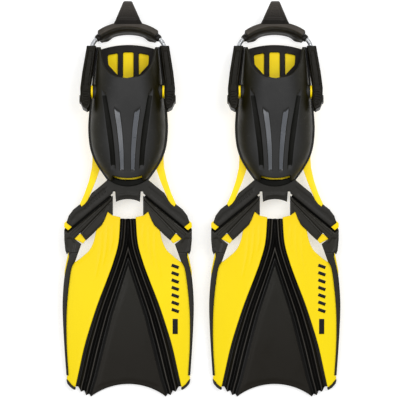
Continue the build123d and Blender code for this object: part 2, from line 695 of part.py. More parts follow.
with BuildPart() as left_buckle_cover:
    with BuildSketch(strap_plane.offset(-COVER_HEIGHT / 2)) as cover_shape:
        with BuildLine():
            Polyline(*COVER_OUTLINE, close=True)
        make_face()
    extrude(amount=COVER_HEIGHT)
    rims = left_buckle_cover.faces().filter_by(Axis(strap_plane.origin, strap_plane.z_dir)).edges()
    fillet(rims, COVER_EDGE)
    # the space for the swivel
    with BuildSketch(strap_plane.offset(COVER_WALL - COVER_HEIGHT / 2)) as cover_space:
        with BuildLine():
            Polyline(*COVER_OUTLINE, close=True)
        make_face()
        offset(amount=-COVER_WALL, kind=Kind.INTERSECTION)
    extrude(amount=COVER_HEIGHT - 2 * COVER_WALL, mode=Mode.SUBTRACT)
    # the way in for the post's head
    with BuildSketch(beside_post(COVER_INNER - LEAD)):
        with Locations((KEYHOLE / 2, 0)):
            SlotCenterToCenter(-KEYHOLE, 2 * (HEAD_RADIUS + LEAD))
    extrude(amount=COVER_WALL + 2 * LEAD, mode=Mode.SUBTRACT)
    # the window for the button
    with BuildSketch(beside_post(SWIVEL_FACE + SWIVEL_THICKNESS)):
        with Locations(((BUTTON_START + BUTTON_END) / 2, 0)):
            Rectangle(BUTTON_END - BUTTON_START + 2 * CLEAR, 2 * (BUTTON_HALF + CLEAR))
    extrude(amount=COVER_WIDTH, mode=Mode.SUBTRACT)
    add(spring_channel.part, mode=Mode.SUBTRACT)

with BuildPart() as left_buckle_swivel:
    with BuildSketch(strap_plane.offset(COVER_WALL - COVER_HEIGHT / 2)):
        add(cover_space.sketch_local)
        # a plate beside the foot in front, the full width behind
        plate_side = SWIVEL_FACE + SWIVEL_THICKNESS + COVER_WIDTH / 2
        with Locations((-plate_side, SOCKET_START - COVER_BACK)):
            Rectangle(COVER_WIDTH, 2 * COVER_BACK, mode=Mode.SUBTRACT)
    extrude(amount=COVER_HEIGHT - 2 * COVER_WALL)
    with BuildSketch(beside_post(COVER_INNER)):
        Circle(POST_RADIUS + POST_CLEARANCE)
        with Locations((KEYHOLE / 2, 0)):
            Rectangle(-KEYHOLE, 2 * (POST_RADIUS + POST_CLEARANCE))
        with Locations((KEYHOLE, 0)):
            Circle(HEAD_RADIUS + KEYHOLE_CLEAR)
    extrude(amount=COVER_WIDTH, mode=Mode.SUBTRACT)
    with BuildSketch(spring_end.offset(-socket_depth)):
        Circle(FLANGE_RADIUS + CLEAR)
    extrude(amount=-2 * FLANGE_LENGTH, mode=Mode.SUBTRACT)
    add(left_spring_anchor.part, mode=Mode.SUBTRACT)
    add(spring_channel.part, mode=Mode.SUBTRACT)

with BuildPart() as left_release_button:
    inner_face = COVER_OUTER - BUTTON_FACE
    with BuildSketch(beside_post(inner_face)):
        with Locations(((BUTTON_START + BUTTON_END) / 2, 0)):
            Rectangle(BUTTON_END - BUTTON_START, 2 * BUTTON_HALF)
    extrude(amount=BUTTON_FACE)
    # a flange keeps it in the buckle, ribs give the thumb a grip, a peg locks the keyhole
    with BuildSketch(beside_post(inner_face)):
        with Locations(((BUTTON_START + BUTTON_END) / 2, 0)):
            flange_length = BUTTON_END - BUTTON_START + 2 * BUTTON_FLANGE
            Rectangle(flange_length, 2 * (BUTTON_HALF + 2 * CLEAR))
    extrude(amount=BUTTON_FLANGE)
    with BuildSketch(beside_post(COVER_OUTER - BUTTON_PROUD)):
        step = (BUTTON_END - BUTTON_START) / BUTTON_RIBS
        for number in range(BUTTON_RIBS):
            with Locations((BUTTON_START + (number + 0.5) * step, 0)):
                Rectangle(step / 2, 2 * BUTTON_HALF - BUTTON_RIB)
    extrude(amount=BUTTON_RIB + BUTTON_PROUD)
    lock_face = SWIVEL_FACE + SWIVEL_THICKNESS + CLEAR
    with BuildSketch(beside_post(lock_face)):
        with Locations((KEYHOLE, 0)):
            Circle(LOCK_RADIUS)
    extrude(amount=inner_face - lock_face)


def pad_point(angle, radius):
    """A point round the heel, by its angle from straight back."""
    return (radius * sin(radians(angle)), PAD_REACH - wide_radius + radius * cos(radians(angle)))


with BuildPart() as heel_pad:
    with BuildSketch(strap_plane.offset(-PAD_HEIGHT / 2)):
        with BuildLine():
            outside = wide_radius + PAD_OUTSIDE
            inside = wide_radius - PAD_INSIDE
            ThreePointArc(*[pad_point(turn * PAD_HALF_ANGLE, outside) for turn in (-1, 0, 1)])
            Line(pad_point(PAD_HALF_ANGLE, outside), pad_point(PAD_HALF_ANGLE, inside))
            ThreePointArc(*[pad_point(turn * PAD_HALF_ANGLE, inside) for turn in (1, 0, -1)])
            Line(pad_point(-PAD_HALF_ANGLE, inside), pad_point(-PAD_HALF_ANGLE, outside))
        make_face()
    extrude(amount=PAD_HEIGHT)
    # rubber tube round the spring
    with BuildLine() as boss_line:
        ThreePointArc(*[pad_point(turn * PAD_HALF_ANGLE, wide_radius) for turn in (-1, 0, 1)])
    boss_path = strap_plane.location * boss_line.line
    with BuildSketch(Plane(origin=boss_path @ 0, z_dir=boss_path % 0)):
        Circle(PAD_BOSS)
    sweep(path=boss_path)
    # pull tab, leaning back from the top edge
    lean = radians(TAB_LEAN)
    tab_back = PAD_REACH + PAD_OUTSIDE - TAB_THICKNESS
    tab_root = strap_plane.from_local_coords((0, tab_back, PAD_HEIGHT / 2 - TAB_OVERLAP))
    tab_face = strap_plane.z_dir * cos(lean) - strap_plane.y_dir * sin(lean)
    with BuildSketch(Plane(origin=tab_root, x_dir=(1, 0, 0), z_dir=tab_face)):
        with BuildLine():
            Polyline(*TAB_SIDE, *mirrored(TAB_SIDE), close=True)
        make_face()
    extrude(amount=TAB_THICKNESS / 2, both=True)
    add(spring_channel.part, mode=Mode.SUBTRACT)

# ---- the pieces of one fin, then both fins ---------------------------------------------------
pieces = {
    "foot_pocket": foot_pocket,
    "footbed": footbed,
    "sole_frame": sole_frame,
    "sole_grips": sole_grips,
    "yoke": yoke,
    "centre_panel": centre_panel,
    "strap_spring": strap_spring,
    "heel_pad": heel_pad,
}
sided_pieces = {
    "wing": left_wing,
    "wing_arm": left_wing_arm,
    "edge_rail": left_edge_rail,
    "tip_bumper": left_tip_bumper,
    "bellows": left_bellows,
    "buckle_cover": left_buckle_cover,
    "buckle_swivel": left_buckle_swivel,
    "spring_anchor": left_spring_anchor,
    "release_button": left_release_button,
}
for name, left_piece in sided_pieces.items():
    with BuildPart() as right_piece:
        mirror(left_piece.part, about=Plane.YZ)
    pieces["left_" + name] = left_piece
    pieces["right_" + name] = right_piece

for fin, place in (("fin_a", -FIN_PITCH / 2), ("fin_b", FIN_PITCH / 2)):
    for name, piece in pieces.items():
        with BuildPart(Plane(origin=(place, 0, 0))) as placed:
            with Locations((0, 0, 0)):
                add(piece.part)
        placed.part.label = f"{fin}_{name}"
        export_step(placed.part, f"parts/{fin}_{name}.step")
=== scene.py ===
"""Looks for a pair of open-heel diving fins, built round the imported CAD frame.

Pieces are drawn in millimetres for one fin, each on the plane that it is moulded on, and for the
left side where it is one of a left and right pair.  deliver() then sets them on both fins.
"""

import math

import bpy
import bmesh
import numpy as np
from mathutils import Matrix, Vector
from mathutils.geometry import delaunay_2d_cdt
from mathutils.kdtree import KDTree


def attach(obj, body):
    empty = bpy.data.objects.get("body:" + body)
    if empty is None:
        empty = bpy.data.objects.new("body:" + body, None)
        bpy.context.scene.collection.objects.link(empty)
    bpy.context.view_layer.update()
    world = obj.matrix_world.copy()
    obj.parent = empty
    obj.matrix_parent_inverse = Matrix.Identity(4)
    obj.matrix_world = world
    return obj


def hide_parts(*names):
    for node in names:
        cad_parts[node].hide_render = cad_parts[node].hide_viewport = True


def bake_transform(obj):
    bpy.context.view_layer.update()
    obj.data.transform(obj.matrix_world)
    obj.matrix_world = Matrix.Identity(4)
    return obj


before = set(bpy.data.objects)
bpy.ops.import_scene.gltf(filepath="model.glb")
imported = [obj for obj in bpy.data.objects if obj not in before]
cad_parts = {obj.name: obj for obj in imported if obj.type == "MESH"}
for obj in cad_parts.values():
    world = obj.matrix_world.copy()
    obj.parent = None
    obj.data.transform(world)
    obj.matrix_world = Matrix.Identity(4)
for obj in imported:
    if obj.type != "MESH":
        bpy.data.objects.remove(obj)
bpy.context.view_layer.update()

MM = 0.001
FINS = (("fin_a", -124.0), ("fin_b", 124.0))
SIDES = (("left_", 1), ("right_", -1))

# ---- the planes that the pieces are moulded on ---------------------------------------------------
FLEX_Y = 38.8
FLEX_Z = 40.8
HEEL_Y = 262.0
PIVOT_Y = 182.0
PIVOT_Z = 57.0
SOLE_LIFT = 3.0
SOLE_PLATE = 4.0
BLADE_TILT = math.atan2(33.8, 352.8)
SOLE_CLIMB = 0.1604
STRAP_DROOP = math.radians(18.34)
TAB_ROOT = 114.3
TAB_RISE = 17.5
TAB_LEAN = math.radians(44)


def tipped(origin, angle):
    """A plane through origin, turned about the X axis so that its Y axis climbs by angle."""
    place = Matrix.Rotation(angle, 4, "X")
    place.translation = Vector(origin)
    return place


BLADE = tipped((0, FLEX_Y, FLEX_Z), BLADE_TILT)
SOLE = tipped((0, HEEL_Y, SOLE_LIFT), -math.atan(SOLE_CLIMB))
STRAP = tipped((0, PIVOT_Y, PIVOT_Z), -STRAP_DROOP)
TAB = STRAP @ tipped((0, TAB_ROOT, TAB_RISE), TAB_LEAN)


def on_blade(points):
    return [(x, (y - FLEX_Y) / math.cos(BLADE_TILT)) for x, y in points]


def on_sole(points):
    return [(x, (y - HEEL_Y) * math.hypot(1, SOLE_CLIMB)) for x, y in points]


def sole_height(y):
    """Height of the sole plate's underside over the floor."""
    return SOLE_LIFT + (HEEL_Y - y) * SOLE_CLIMB


def mirrored(points):
    return [(-x, y) for x, y in reversed(points)]


# ---- curves --------------------------------------------------------------------------------------
def ease(t):
    """0 below 0, 1 above 1, and a soft turn between."""
    t = np.clip(t, 0, 1)
    return t * t * (3 - 2 * t)


def curve(points, per_span=8):
    """A smooth line through every point."""
    p = np.array(points, float)
    p = np.vstack([2 * p[0] - p[1], p, 2 * p[-1] - p[-2]])
    made = []
    for a, b, c, d in zip(p, p[1:], p[2:], p[3:]):
        for t in np.arange(per_span) / per_span:
            square = 2 * b + (c - a) * t + (2 * a - 5 * b + 4 * c - d) * t**2
            made.append(0.5 * (square + (3 * b - a - 3 * c + d) * t**3))
    made.append(p[-2])
    return [tuple(point) for point in made]


def arc(start, middle, end, count=24):
    """Points of the circle through three points, from start to end."""
    (ax, ay), (bx, by), (cx, cy) = start, middle, end
    d = 2 * (ax * (by - cy) + bx * (cy - ay) + cx * (ay - by))
    a2, b2, c2 = ax**2 + ay**2, bx**2 + by**2, cx**2 + cy**2
    ox = (a2 * (by - cy) + b2 * (cy - ay) + c2 * (ay - by)) / d
    oy = (a2 * (cx - bx) + b2 * (ax - cx) + c2 * (bx - ax)) / d
    turns = np.unwrap([math.atan2(y - oy, x - ox) for x, y in (start, middle, end)])
    radius = math.hypot(ax - ox, ay - oy)
    steps = np.linspace(turns[0], turns[2], count)
    return [(ox + radius * math.cos(t), oy + radius * math.sin(t)) for t in steps]


def softened_corners(loop, radius):
    """The loop with every corner turned into a small curve."""
    made = []
    count = len(loop)
    for k in range(count):
        before, corner, after = (np.array(loop[(k + step) % count], float) for step in (-1, 0, 1))
        cut_in = corner + (before - corner) * min(0.45, radius / math.dist(before, corner))
        cut_out = corner + (after - corner) * min(0.45, radius / math.dist(after, corner))
        for t in (0, 0.25, 0.5, 0.75, 1):
            made.append(tuple((1 - t) ** 2 * cut_in + 2 * t * (1 - t) * corner + t * t * cut_out))
    return made


def bar(centre, length, width, turn):
    """A thin four-sided strip, its long side turned from the X axis."""
    c, s = math.cos(turn), math.sin(turn)
    corners = ((-0.5, -0.5), (0.5, -0.5), (0.5, 0.5), (-0.5, 0.5))
    return [
        (centre[0] + c * u * length - s * v * width, centre[1] + s * u * length + c * v * width)
        for u, v in corners
    ]


# ---- shapes: (points, faces, material number of each face) ---------------------------------------
def join(*shapes):
    points = []
    faces = []
    paints = []
    for more_points, more_faces, more_paints in shapes:
        start = len(points)
        points.extend(more_points)
        faces.extend(tuple(start + k for k in face) for face in more_faces)
        paints.extend(more_paints)
    return points, faces, paints


def painted_all(shape, number):
    return shape[0], shape[1], [number] * len(shape[1])


def moved(shape, place):
    return [tuple(place @ Vector(p)) for p in shape[0]], shape[1], shape[2]


def reflected(shape):
    return [(-x, y, z) for x, y, z in shape[0]], [tuple(reversed(face)) for face in shape[1]], shape[2]


def spaced(loop, step):
    """Points round a closed loop, its corners kept."""
    made = []
    for start, end in zip(loop, list(loop[1:]) + [loop[0]]):
        count = max(1, math.ceil(math.dist(start, end) / step))
        made.extend(
            (start[0] + (end[0] - start[0]) * k / count, start[1] + (end[1] - start[1]) * k / count)
            for k in range(count)
        )
    return np.array(made)


def gap(points, loops):
    """Distance from each point to the nearest edge of the loops."""
    best = np.full(len(points), 1e9)
    for loop in loops:
        along = np.roll(loop, -1, axis=0) - loop
        for start, edge in zip(loop, along):
            out = points - start
            share = np.clip(out @ edge / (edge @ edge), 0, 1)
            best = np.minimum(best, np.linalg.norm(out - share[:, None] * edge, axis=1))
    return best


def inside(points, loop):
    x, y = points[:, 0], points[:, 1]
    hits = np.zeros(len(points), int)
    for (ax, ay), (bx, by) in zip(loop, np.roll(loop, -1, axis=0)):
        if ay != by:
            hits += ((ay > y) != (by > y)) & (x < (bx - ax) * (y - ay) / (by - ay) + ax)
    return hits % 2 == 1


def inset(loop, distance):
    """The points of a loop moved square to it, towards its inside."""
    edge = np.roll(loop, -1, axis=0) - loop
    square = np.column_stack([-edge[:, 1], edge[:, 0]]) / np.linalg.norm(edge, axis=1)[:, None]
    before = np.roll(square, 1, axis=0)
    turn = np.maximum(1 + (square * before).sum(1), 0.5)
    x, y = loop.T
    area = (x * np.roll(y, -1) - np.roll(x, -1) * y).sum()
    return loop + distance * math.copysign(1, area) * (square + before) / turn[:, None]


def plate(outline, thickness, radius, step=3.0, holes=(), features=(), rim=(0, 0), lift=0.0, painted=()):
    """A moulded plate with rounded edges, on the plane z = lift.

    features are (loop, height, blend): the top rises by height inside the loop, over the blend width.
    rim is (width, height) of a raised border, and painted is (loop, material number).
    """
    edges = [spaced(outline, step)] + [spaced(hole, step) for hole in holes]
    known = [np.vstack(edges)]
    for share in (0.12, 0.4, 0.7, 1.0):
        for number, loop in enumerate(edges):
            ring = inset(loop, share * radius * (1 if number == 0 else -1))
            known.append(ring[gap(ring, edges) > 0.9 * share * radius])
    for loop, _, blend in features:
        feature_loop = spaced(loop, min(step, 2.0))
        for share in (0, 0.5, 1):
            ring = inset(feature_loop, share * blend)
            keep = gap(ring, edges) > radius
            if share:
                keep &= gap(ring, [feature_loop]) > 0.9 * share * blend
            known.append(ring[keep])
    low, high = edges[0].min(0), edges[0].max(0)
    across, along = np.meshgrid(np.arange(low[0], high[0], step), np.arange(low[1], high[1], step * 0.87))
    across[1::2] += step / 2
    grid = np.column_stack([across.ravel(), along.ravel()])
    grid = grid[gap(grid, edges) > radius + 0.3 * step]
    fixed = np.vstack(known)
    tree = KDTree(len(fixed))
    for number, point in enumerate(fixed):
        tree.insert((point[0], point[1], 0), number)
    tree.balance()
    grid = np.array([p for p in grid if tree.find((p[0], p[1], 0))[2] > 0.45 * step]).reshape(-1, 2)
    everything = np.vstack([fixed, grid])
    everything = everything[inside(everything, edges[0]) | (gap(everything, edges) < 1e-6)]
    ties = []
    start = 0
    for loop in edges:
        ties.extend((start + k, start + (k + 1) % len(loop)) for k in range(len(loop)))
        start += len(loop)
    found, _, triangles, _, _, _ = delaunay_2d_cdt([Vector(p) for p in everything], ties, [], 0, 1e-4)
    flat = np.array([tuple(p) for p in found])
    middles = flat[np.array(triangles)].mean(1)
    keep = inside(middles, edges[0])
    for hole in edges[1:]:
        keep &= ~inside(middles, hole)
    triangles = [tuple(t) for t, kept in zip(triangles, keep) if kept]
    middles = middles[keep]
    depth = gap(flat, edges)
    fall = radius - np.sqrt(radius**2 - (radius - np.minimum(depth, radius)) ** 2)
    top = thickness / 2 - fall
    bottom = -thickness / 2 + fall
    if rim[0]:
        top = top + rim[1] * (1 - ease((depth - rim[0]) / 1.5))
    for loop, height, blend in features:
        feature_loop = spaced(loop, 2.0)
        top = top + height * np.where(inside(flat, feature_loop), ease(gap(flat, [feature_loop]) / blend), 0)
    points = [(x, y, lift + z) for side in (top, bottom) for (x, y), z in zip(flat, side)]
    count = len(flat)
    faces = list(triangles) + [(c + count, b + count, a + count) for a, b, c in triangles]
    paints = np.zeros(len(triangles), int)
    for loop, number in painted:
        paints[inside(middles, np.array(loop))] = number
    used = dict.fromkeys(pair for a, b, c in triangles for pair in ((a, b), (b, c), (c, a)))
    walls = [(b, a, a + count, b + count) for a, b in used if (b, a) not in used]
    return points, faces + walls, list(paints) + [0] * (len(triangles) + len(walls))


def grid_faces(rows, columns, start=0, flip=False):
    faces = []
    for r in range(rows - 1):
        for c in range(columns - 1):
            a = start + r * columns + c
            face = (a, a + 1, a + columns + 1, a + columns)
            faces.append(tuple(reversed(face)) if flip else face)
    return faces


def tube(path, radii, sides=14, caps=True):
    """A round tube along a path, with its own radius at each point."""
    path = np.array(path, float)
    along = np.gradient(path, axis=0)
    along /= np.linalg.norm(along, axis=1)[:, None]
    up = np.array((0.0, 0.0, 1.0))
    aside = np.cross(along, up)
    aside /= np.linalg.norm(aside, axis=1)[:, None]
    other = np.cross(aside, along)
    points = []
    for p, s, o, radius in zip(path, aside, other, radii):
        for turn in np.arange(sides) * 2 * math.pi / sides:
            points.append(tuple(p + radius * (math.cos(turn) * s + math.sin(turn) * o)))
    faces = []
    for r in range(len(path) - 1):
        for c in range(sides):
            a, b = r * sides + c, r * sides + (c + 1) % sides
            faces.append((a, b, b + sides, a + sides))
    if caps:
        faces.append(tuple(reversed(range(sides))))
        faces.append(tuple(range(len(points) - sides, len(points))))
    return points, faces, [0] * len(faces)


# ---- materials -----------------------------------------------------------------------------------
def colour(code):
    """An sRGB hex colour as linear RGBA."""
    parts = [int(code[k : k + 2], 16) / 255 for k in (1, 3, 5)]
    return [c / 12.92 if c <= 0.04045 else ((c + 0.055) / 1.055) ** 2.4 for c in parts] + [1]


def add_node(tree, kind, inputs, **settings):
    """A node with its settings, its input values and the links into it."""
    made = tree.nodes.new(kind)
    for name, value in settings.items():
        setattr(made, name, value)
    for name, value in inputs.items():
        if isinstance(value, bpy.types.NodeSocket):
            tree.links.new(value, made.inputs[name])
        else:
            made.inputs[name].default_value = value
    return made


MIX_SHARE, MIX_A, MIX_B, MIX_RESULT = 0, 6, 7, 2


def mixed(tree, share, first, second):
    made = add_node(tree, "ShaderNodeMix", {MIX_SHARE: share, MIX_A: first, MIX_B: second}, data_type="RGBA")
    return made.outputs[MIX_RESULT]


def spread(tree, value, low, high, start=0.3, end=0.7):
    inputs = {"Value": value, "From Min": start, "From Max": end, "To Min": low, "To Max": high}
    return add_node(tree, "ShaderNodeMapRange", inputs).outputs["Result"]


def noise(tree, place, size_mm, detail=4.0):
    inputs = {"Vector": place, "Scale": 1 / (size_mm * MM), "Detail": detail, "Roughness": 0.55}
    return add_node(tree, "ShaderNodeTexNoise", inputs).outputs["Fac"]


def moulding(name, base, tone, rough, patch=40, grain=0.6, height=0.03, ior=1.5, metallic=0.0,
             fade=None, side_shade=None, streak=1.0, scuff=None, specular=0.2):
    """One moulded or drawn material.

    base and tone are mixed in soft patches (patch mm wide, stretched by streak along the blade), rough is
    the (smoothest, roughest) of the surface, grain and height are the size and depth of the die's texture in
    mm, fade is (start Y, end Y, colour) in mm, side_shade is the colour of a painted shade laid on the sides
    that face away from above, and scuff is a paler colour rubbed on in fine marks.
    """
    made = bpy.data.materials.new(name)
    made.use_nodes = True
    tree = made.node_tree
    shader = tree.nodes["Principled BSDF"]
    place = add_node(tree, "ShaderNodeTexCoord", {}).outputs["Object"]
    drawn = add_node(
        tree, "ShaderNodeMapping", {"Vector": place, "Scale": (1, 1 / streak, 1)},
    ).outputs["Vector"]
    patches = noise(tree, drawn, patch)
    shade = mixed(tree, spread(tree, patches, 0, 1), colour(base), colour(tone))
    if fade:
        height_along = add_node(tree, "ShaderNodeSeparateXYZ", {"Vector": place}).outputs["Y"]
        share = spread(tree, height_along, 0, 1, fade[0] * MM, fade[1] * MM)
        shade = mixed(tree, share, shade, colour(fade[2]))
    # painted shade: sides that face away from above are darkened towards the side colour
    if side_shade:
        facing = add_node(tree, "ShaderNodeTexCoord", {}).outputs["Normal"]
        rise = add_node(tree, "ShaderNodeSeparateXYZ", {"Vector": facing}).outputs["Z"]
        shade = mixed(tree, spread(tree, rise, 1, 0, 0.55, 0.93), shade, colour(side_shade))
    if scuff:
        marks = noise(tree, drawn, 5, 10.0)
        shade = mixed(tree, spread(tree, marks, 0, 0.35, 0.58, 0.72), shade, colour(scuff))
    fine = noise(tree, place, grain, 3.0)
    smudges = noise(tree, drawn, patch / 3, 6.0)
    bump = add_node(tree, "ShaderNodeBump", {"Height": fine, "Strength": 0.6, "Distance": height * MM})
    tree.links.new(shade, shader.inputs["Base Color"])
    tree.links.new(spread(tree, smudges, rough[0], rough[1]), shader.inputs["Roughness"])
    tree.links.new(bump.outputs["Normal"], shader.inputs["Normal"])
    for socket, value in (("IOR", ior), ("Metallic", metallic), ("Specular IOR Level", specular)):
        shader.inputs[socket].default_value = value
    return made


# Thermoplastic rubber, injection moulded in a spark-eroded die: a charcoal satin, with a warm, darker painted
# shade on the sides that face away from above.
pocket_rubber = moulding(
    "pocket_rubber", "#2e2e2e", "#292929", (0.44, 0.56), patch=55, height=0.05, scuff="#393835",
    side_shade="#171402", specular=0.14,
)
# The same rubber on the inner flute floors, from a polished part of the die: glossier, and painted a cool
# blue-grey far paler than the charcoal as a painted sheen.
sheen_painted_rubber = moulding(
    "sheen_painted_rubber", "#4c4f55", "#44474c", (0.26, 0.32), patch=30, grain=6, height=0.008, specular=0.7,
)
# The same rubber in the deep flutes, the toe lip and the wing groove, painted almost black as a painted shade
# where little light reaches.
shade_painted_rubber = moulding(
    "shade_painted_rubber", "#0a0a07", "#0f0f0b", (0.44, 0.54), patch=20, height=0.03, specular=0.08,
)
# Soft compression-moulded rubber underfoot: matt and dark, with a fine drag grain.
footbed_rubber = moulding(
    "footbed_rubber", "#1b1816", "#14110f", (0.55, 0.7), patch=25, grain=0.9, height=0.08,
)
# Hard-wearing rubber lugs: matt black with grey scuffs.
sole_rubber = moulding(
    "sole_rubber", "#1b1a18", "#242320", (0.6, 0.8), patch=20, grain=1.0, height=0.1, scuff="#3c3a36",
)
# Dense thermoplastic rubber on the wishbone: warm charcoal, satin.
yoke_rubber = moulding(
    "yoke_rubber", "#201f1c", "#1c1a15", (0.4, 0.54), patch=35, height=0.05, scuff="#302e2a",
)
# Rubber edging over-moulded on the wings: a brown-black satin.
rail_rubber = moulding(
    "rail_rubber", "#1d1b16", "#24221c", (0.34, 0.46), patch=45, height=0.03, streak=4, scuff="#33302a",
)
# Thin elastic rubber of the pleats: black and slightly shiny, since it comes from a smooth die.
pleat_rubber = moulding(
    "pleat_rubber", "#080706", "#0e0d0b", (0.3, 0.42), patch=30, height=0.015, streak=5, specular=0.2,
)
# The crests of the pleats: a thin grey line painted on as a painted highlight along each crest.
pleat_crest_highlight = moulding("pleat_crest_highlight", "#45423d", "#332f2a", (0.26, 0.4), patch=24, height=0.01, streak=6)
# Polyamide sheet of the centre, from a smooth die: charcoal at the top and brown-black towards the tips.
centre_nylon = moulding(
    "centre_nylon", "#1b1a14", "#16150f", (0.36, 0.48), patch=70, height=0.02, fade=(-110, -265, "#130f07"),
    streak=2,
)
# Glass-filled polyamide of the buckles: hard black with small bright glints.
black_nylon = moulding(
    "black_nylon", "#0c0a03", "#131008", (0.26, 0.4), patch=16, grain=1.2, height=0.07, scuff="#26221a",
    specular=0.15,
)
# Polypropylene of the frame, dyed through: a warm yellow that is slightly waxy.
yellow_frame = moulding("yellow_frame", "#fbdf00", "#f6d200", (0.34, 0.46), patch=35, height=0.02, ior=1.49)
# Polypropylene of the wings: a lemon yellow that turns faintly darker and more orange towards the root.
yellow_wing = moulding(
    "yellow_wing", "#f3d900", "#f0d300", (0.34, 0.44), patch=60, height=0.015, ior=1.49,
    fade=(-150, -20, "#efcd06"), streak=5,
)
# Pad-printing ink on the wings: flat black, slightly proud.
print_ink = moulding("print_ink", "#060505", "#0a0a09", (0.4, 0.5), patch=10, height=0.01)
# Flexible rubber of the heel strap: near-black and matt, and greyer towards the tip of the pull tab.
strap_rubber = moulding(
    "strap_rubber", "#14120f", "#1c1916", (0.4, 0.55), patch=30, height=0.05, scuff="#2e2a25",
    fade=(300, 325, "#413d39"),
)
# The same rubber along the strap's upper rim: a paler brown-grey painted on as a painted highlight where the
# rim faces the light.
strap_rim_highlight = moulding("strap_rim_highlight", "#3f3a34", "#332f29", (0.34, 0.46), patch=22, height=0.04, scuff="#544e47")
# Drawn stainless spring wire: a clean bright metal with faint drawing lines.
spring_steel = moulding(
    "spring_steel", "#e8eaec", "#d9dbde", (0.24, 0.34), patch=4, grain=0.3, height=0.01, metallic=1.0,
)


# ---- setting the pieces on the fins --------------------------------------------------------------
def deliver(word, shape, place, body, node, finishes, paired=False, bend=None, crease=35.0):
    """Both fins' copies of a piece: riding on body, standing for the CAD node, painted with finishes.

    bend, when given, is (second body, start, end); only whether it is given is read: the piece then rides on
    no body and keeps its place baked into its mesh.
    """
    local = np.array(moved(shape, place)[0])
    for fin, offset in FINS:
        for side, sign in SIDES if paired else (("", 1),):
            points = local * (sign * MM, MM, MM) + (offset * MM, 0, 0)
            points[:, 2] = np.maximum(points[:, 2], 0)
            faces = shape[1] if sign > 0 else [tuple(reversed(face)) for face in shape[1]]
            mesh = bpy.data.meshes.new(f"{fin}_{side}{word}")
            mesh.from_pydata(points.tolist(), [], faces)
            for finish in finishes:
                mesh.materials.append(finish)
            mesh.polygons.foreach_set("material_index", shape[2])
            mesh.polygons.foreach_set("use_smooth", [True] * len(faces))
            tidy = bmesh.new()
            tidy.from_mesh(mesh)
            bmesh.ops.remove_doubles(tidy, verts=tidy.verts, dist=0.02 * MM)
            bmesh.ops.recalc_face_normals(tidy, faces=tidy.faces)
            tidy.to_mesh(mesh)
            tidy.free()
            mesh.set_sharp_from_angle(angle=math.radians(crease))
            piece = bpy.data.objects.new(mesh.name, mesh)
            bpy.context.collection.objects.link(piece)
            settle(piece, fin, side, body, node, bend)


def settle(piece, fin, side, body, node, bend):
    """Rides a piece on its body, or, when a bend is given, bakes its place into its mesh on no body, and lets
    it stand for its CAD node.
    """
    if bend:
        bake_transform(piece)
    else:
        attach(piece, f"{fin}_{body.format(side=side)}")
    if node:
        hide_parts(f"{fin}_{side}{node}")


def softened_copy(node, word, radius, body, finish, paired=False):
    """Both fins' copies of a hard CAD piece, with the small radii that its mould would give it."""
    for fin, offset in FINS:
        for side, sign in SIDES if paired else (("", 1),):
            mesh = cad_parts[f"{fin}_{side}{node}"].data.copy()
            mesh.name = f"{fin}_{side}{word}"
            mesh.materials.clear()
            mesh.materials.append(finish)
            shape = bmesh.new()
            shape.from_mesh(mesh)
            for layer in list(shape.loops.layers.uv):
                shape.loops.layers.uv.remove(layer)
            bmesh.ops.remove_doubles(shape, verts=shape.verts, dist=0.01 * MM)
            bmesh.ops.dissolve_limit(
                shape, angle_limit=math.radians(1.5), verts=shape.verts, edges=shape.edges,
            )
            folds = [e for e in shape.edges if len(e.link_faces) == 2]
            sharp = [e for e in folds if e.calc_face_angle(0) > math.radians(38)]
            bmesh.ops.bevel(
                shape, geom=sharp, offset=radius * MM, segments=3, profile=0.5, affect="EDGES",
                clamp_overlap=True,
            )
            bmesh.ops.triangulate(shape, faces=[f for f in shape.faces if len(f.verts) > 4])
            for face in shape.faces:
                face.smooth = True
                face.material_index = 0
            shape.to_mesh(mesh)
            shape.free()
            mesh.set_sharp_from_angle(angle=math.radians(32))
            piece = bpy.data.objects.new(mesh.name, mesh)
            bpy.context.collection.objects.link(piece)
            settle(piece, fin, side, body, node, None)


# ---- blade: wings, arms, rails, bumpers ----------------------------------------------------------
WING_INNER = [
    (-12.9, -29), (-16.2, -71.6), (-24.8, -104), (-35.7, -134.3), (-50.8, -173.4), (-63.9, -212.5),
    (-74.8, -249.4), (-84.5, -292.7), (-89.9, -317),
]
WING_OUTER = [
    (-92, -317.8), (-102.9, -308.5), (-104.8, -300.4), (-102.3, -296), (-103.4, -290), (-106, -249.4),
    (-107, -205.7), (-107, -173.4), (-107.8, -141), (-107.6, -120), (-102.2, -93), (-100.6, -86.5),
    (-98, -86.5), (-93, -101), (-88.9, -104.5),
]
VENT_EDGE = [(-80.5, -98.5), (-73, -92), (-66.5, -86), (-61, -77), (-57, -66), (-54.5, -54)]
WING_ROOT = [
    (-53, -47.5), (-62, -56.2), (-69.8, -63.5), (-71.1, -67.3), (-76, -73.4), (-91, -65.6), (-82.6, -57.5),
    (-79.3, -56.8), (-31, -6.8), (-28, -9), (-28, -22), (-26, -26),
]
WING_ARM = [
    (-25.5, 4.8), (-25.5, -25), (-27.2, -25), (-34, -19.7), (-39.4, -33.2), (-44.2, -42.2), (-51.7, -49.3),
    (-61.4, -59.2), (-71.1, -68), (-80.9, -55.1), (-27.9, -0.2),
]
WING_RIBS = [
    ((-45, -54), (-47, -90), (-57, -140)), ((-35, -44), (-37, -80), (-44, -118)),
    ((-26, -42), (-26, -66), (-31, -92)),
]
RAIL_HEAD = [
    (-25.5, 7.2), (-94.8, -49.6), (-100.8, -54.8), (-107.8, -49.8), (-107.8, -67.3), (-106.1, -85),
    (-103.5, -92), (-100.5, -88), (-99.6, -106), (-92, -106), (-88.9, -102), (-79, -74.6),
    (-91, -65.6), (-80.9, -55.1), (-27.9, -0.2), (-25.5, 4.8),
]
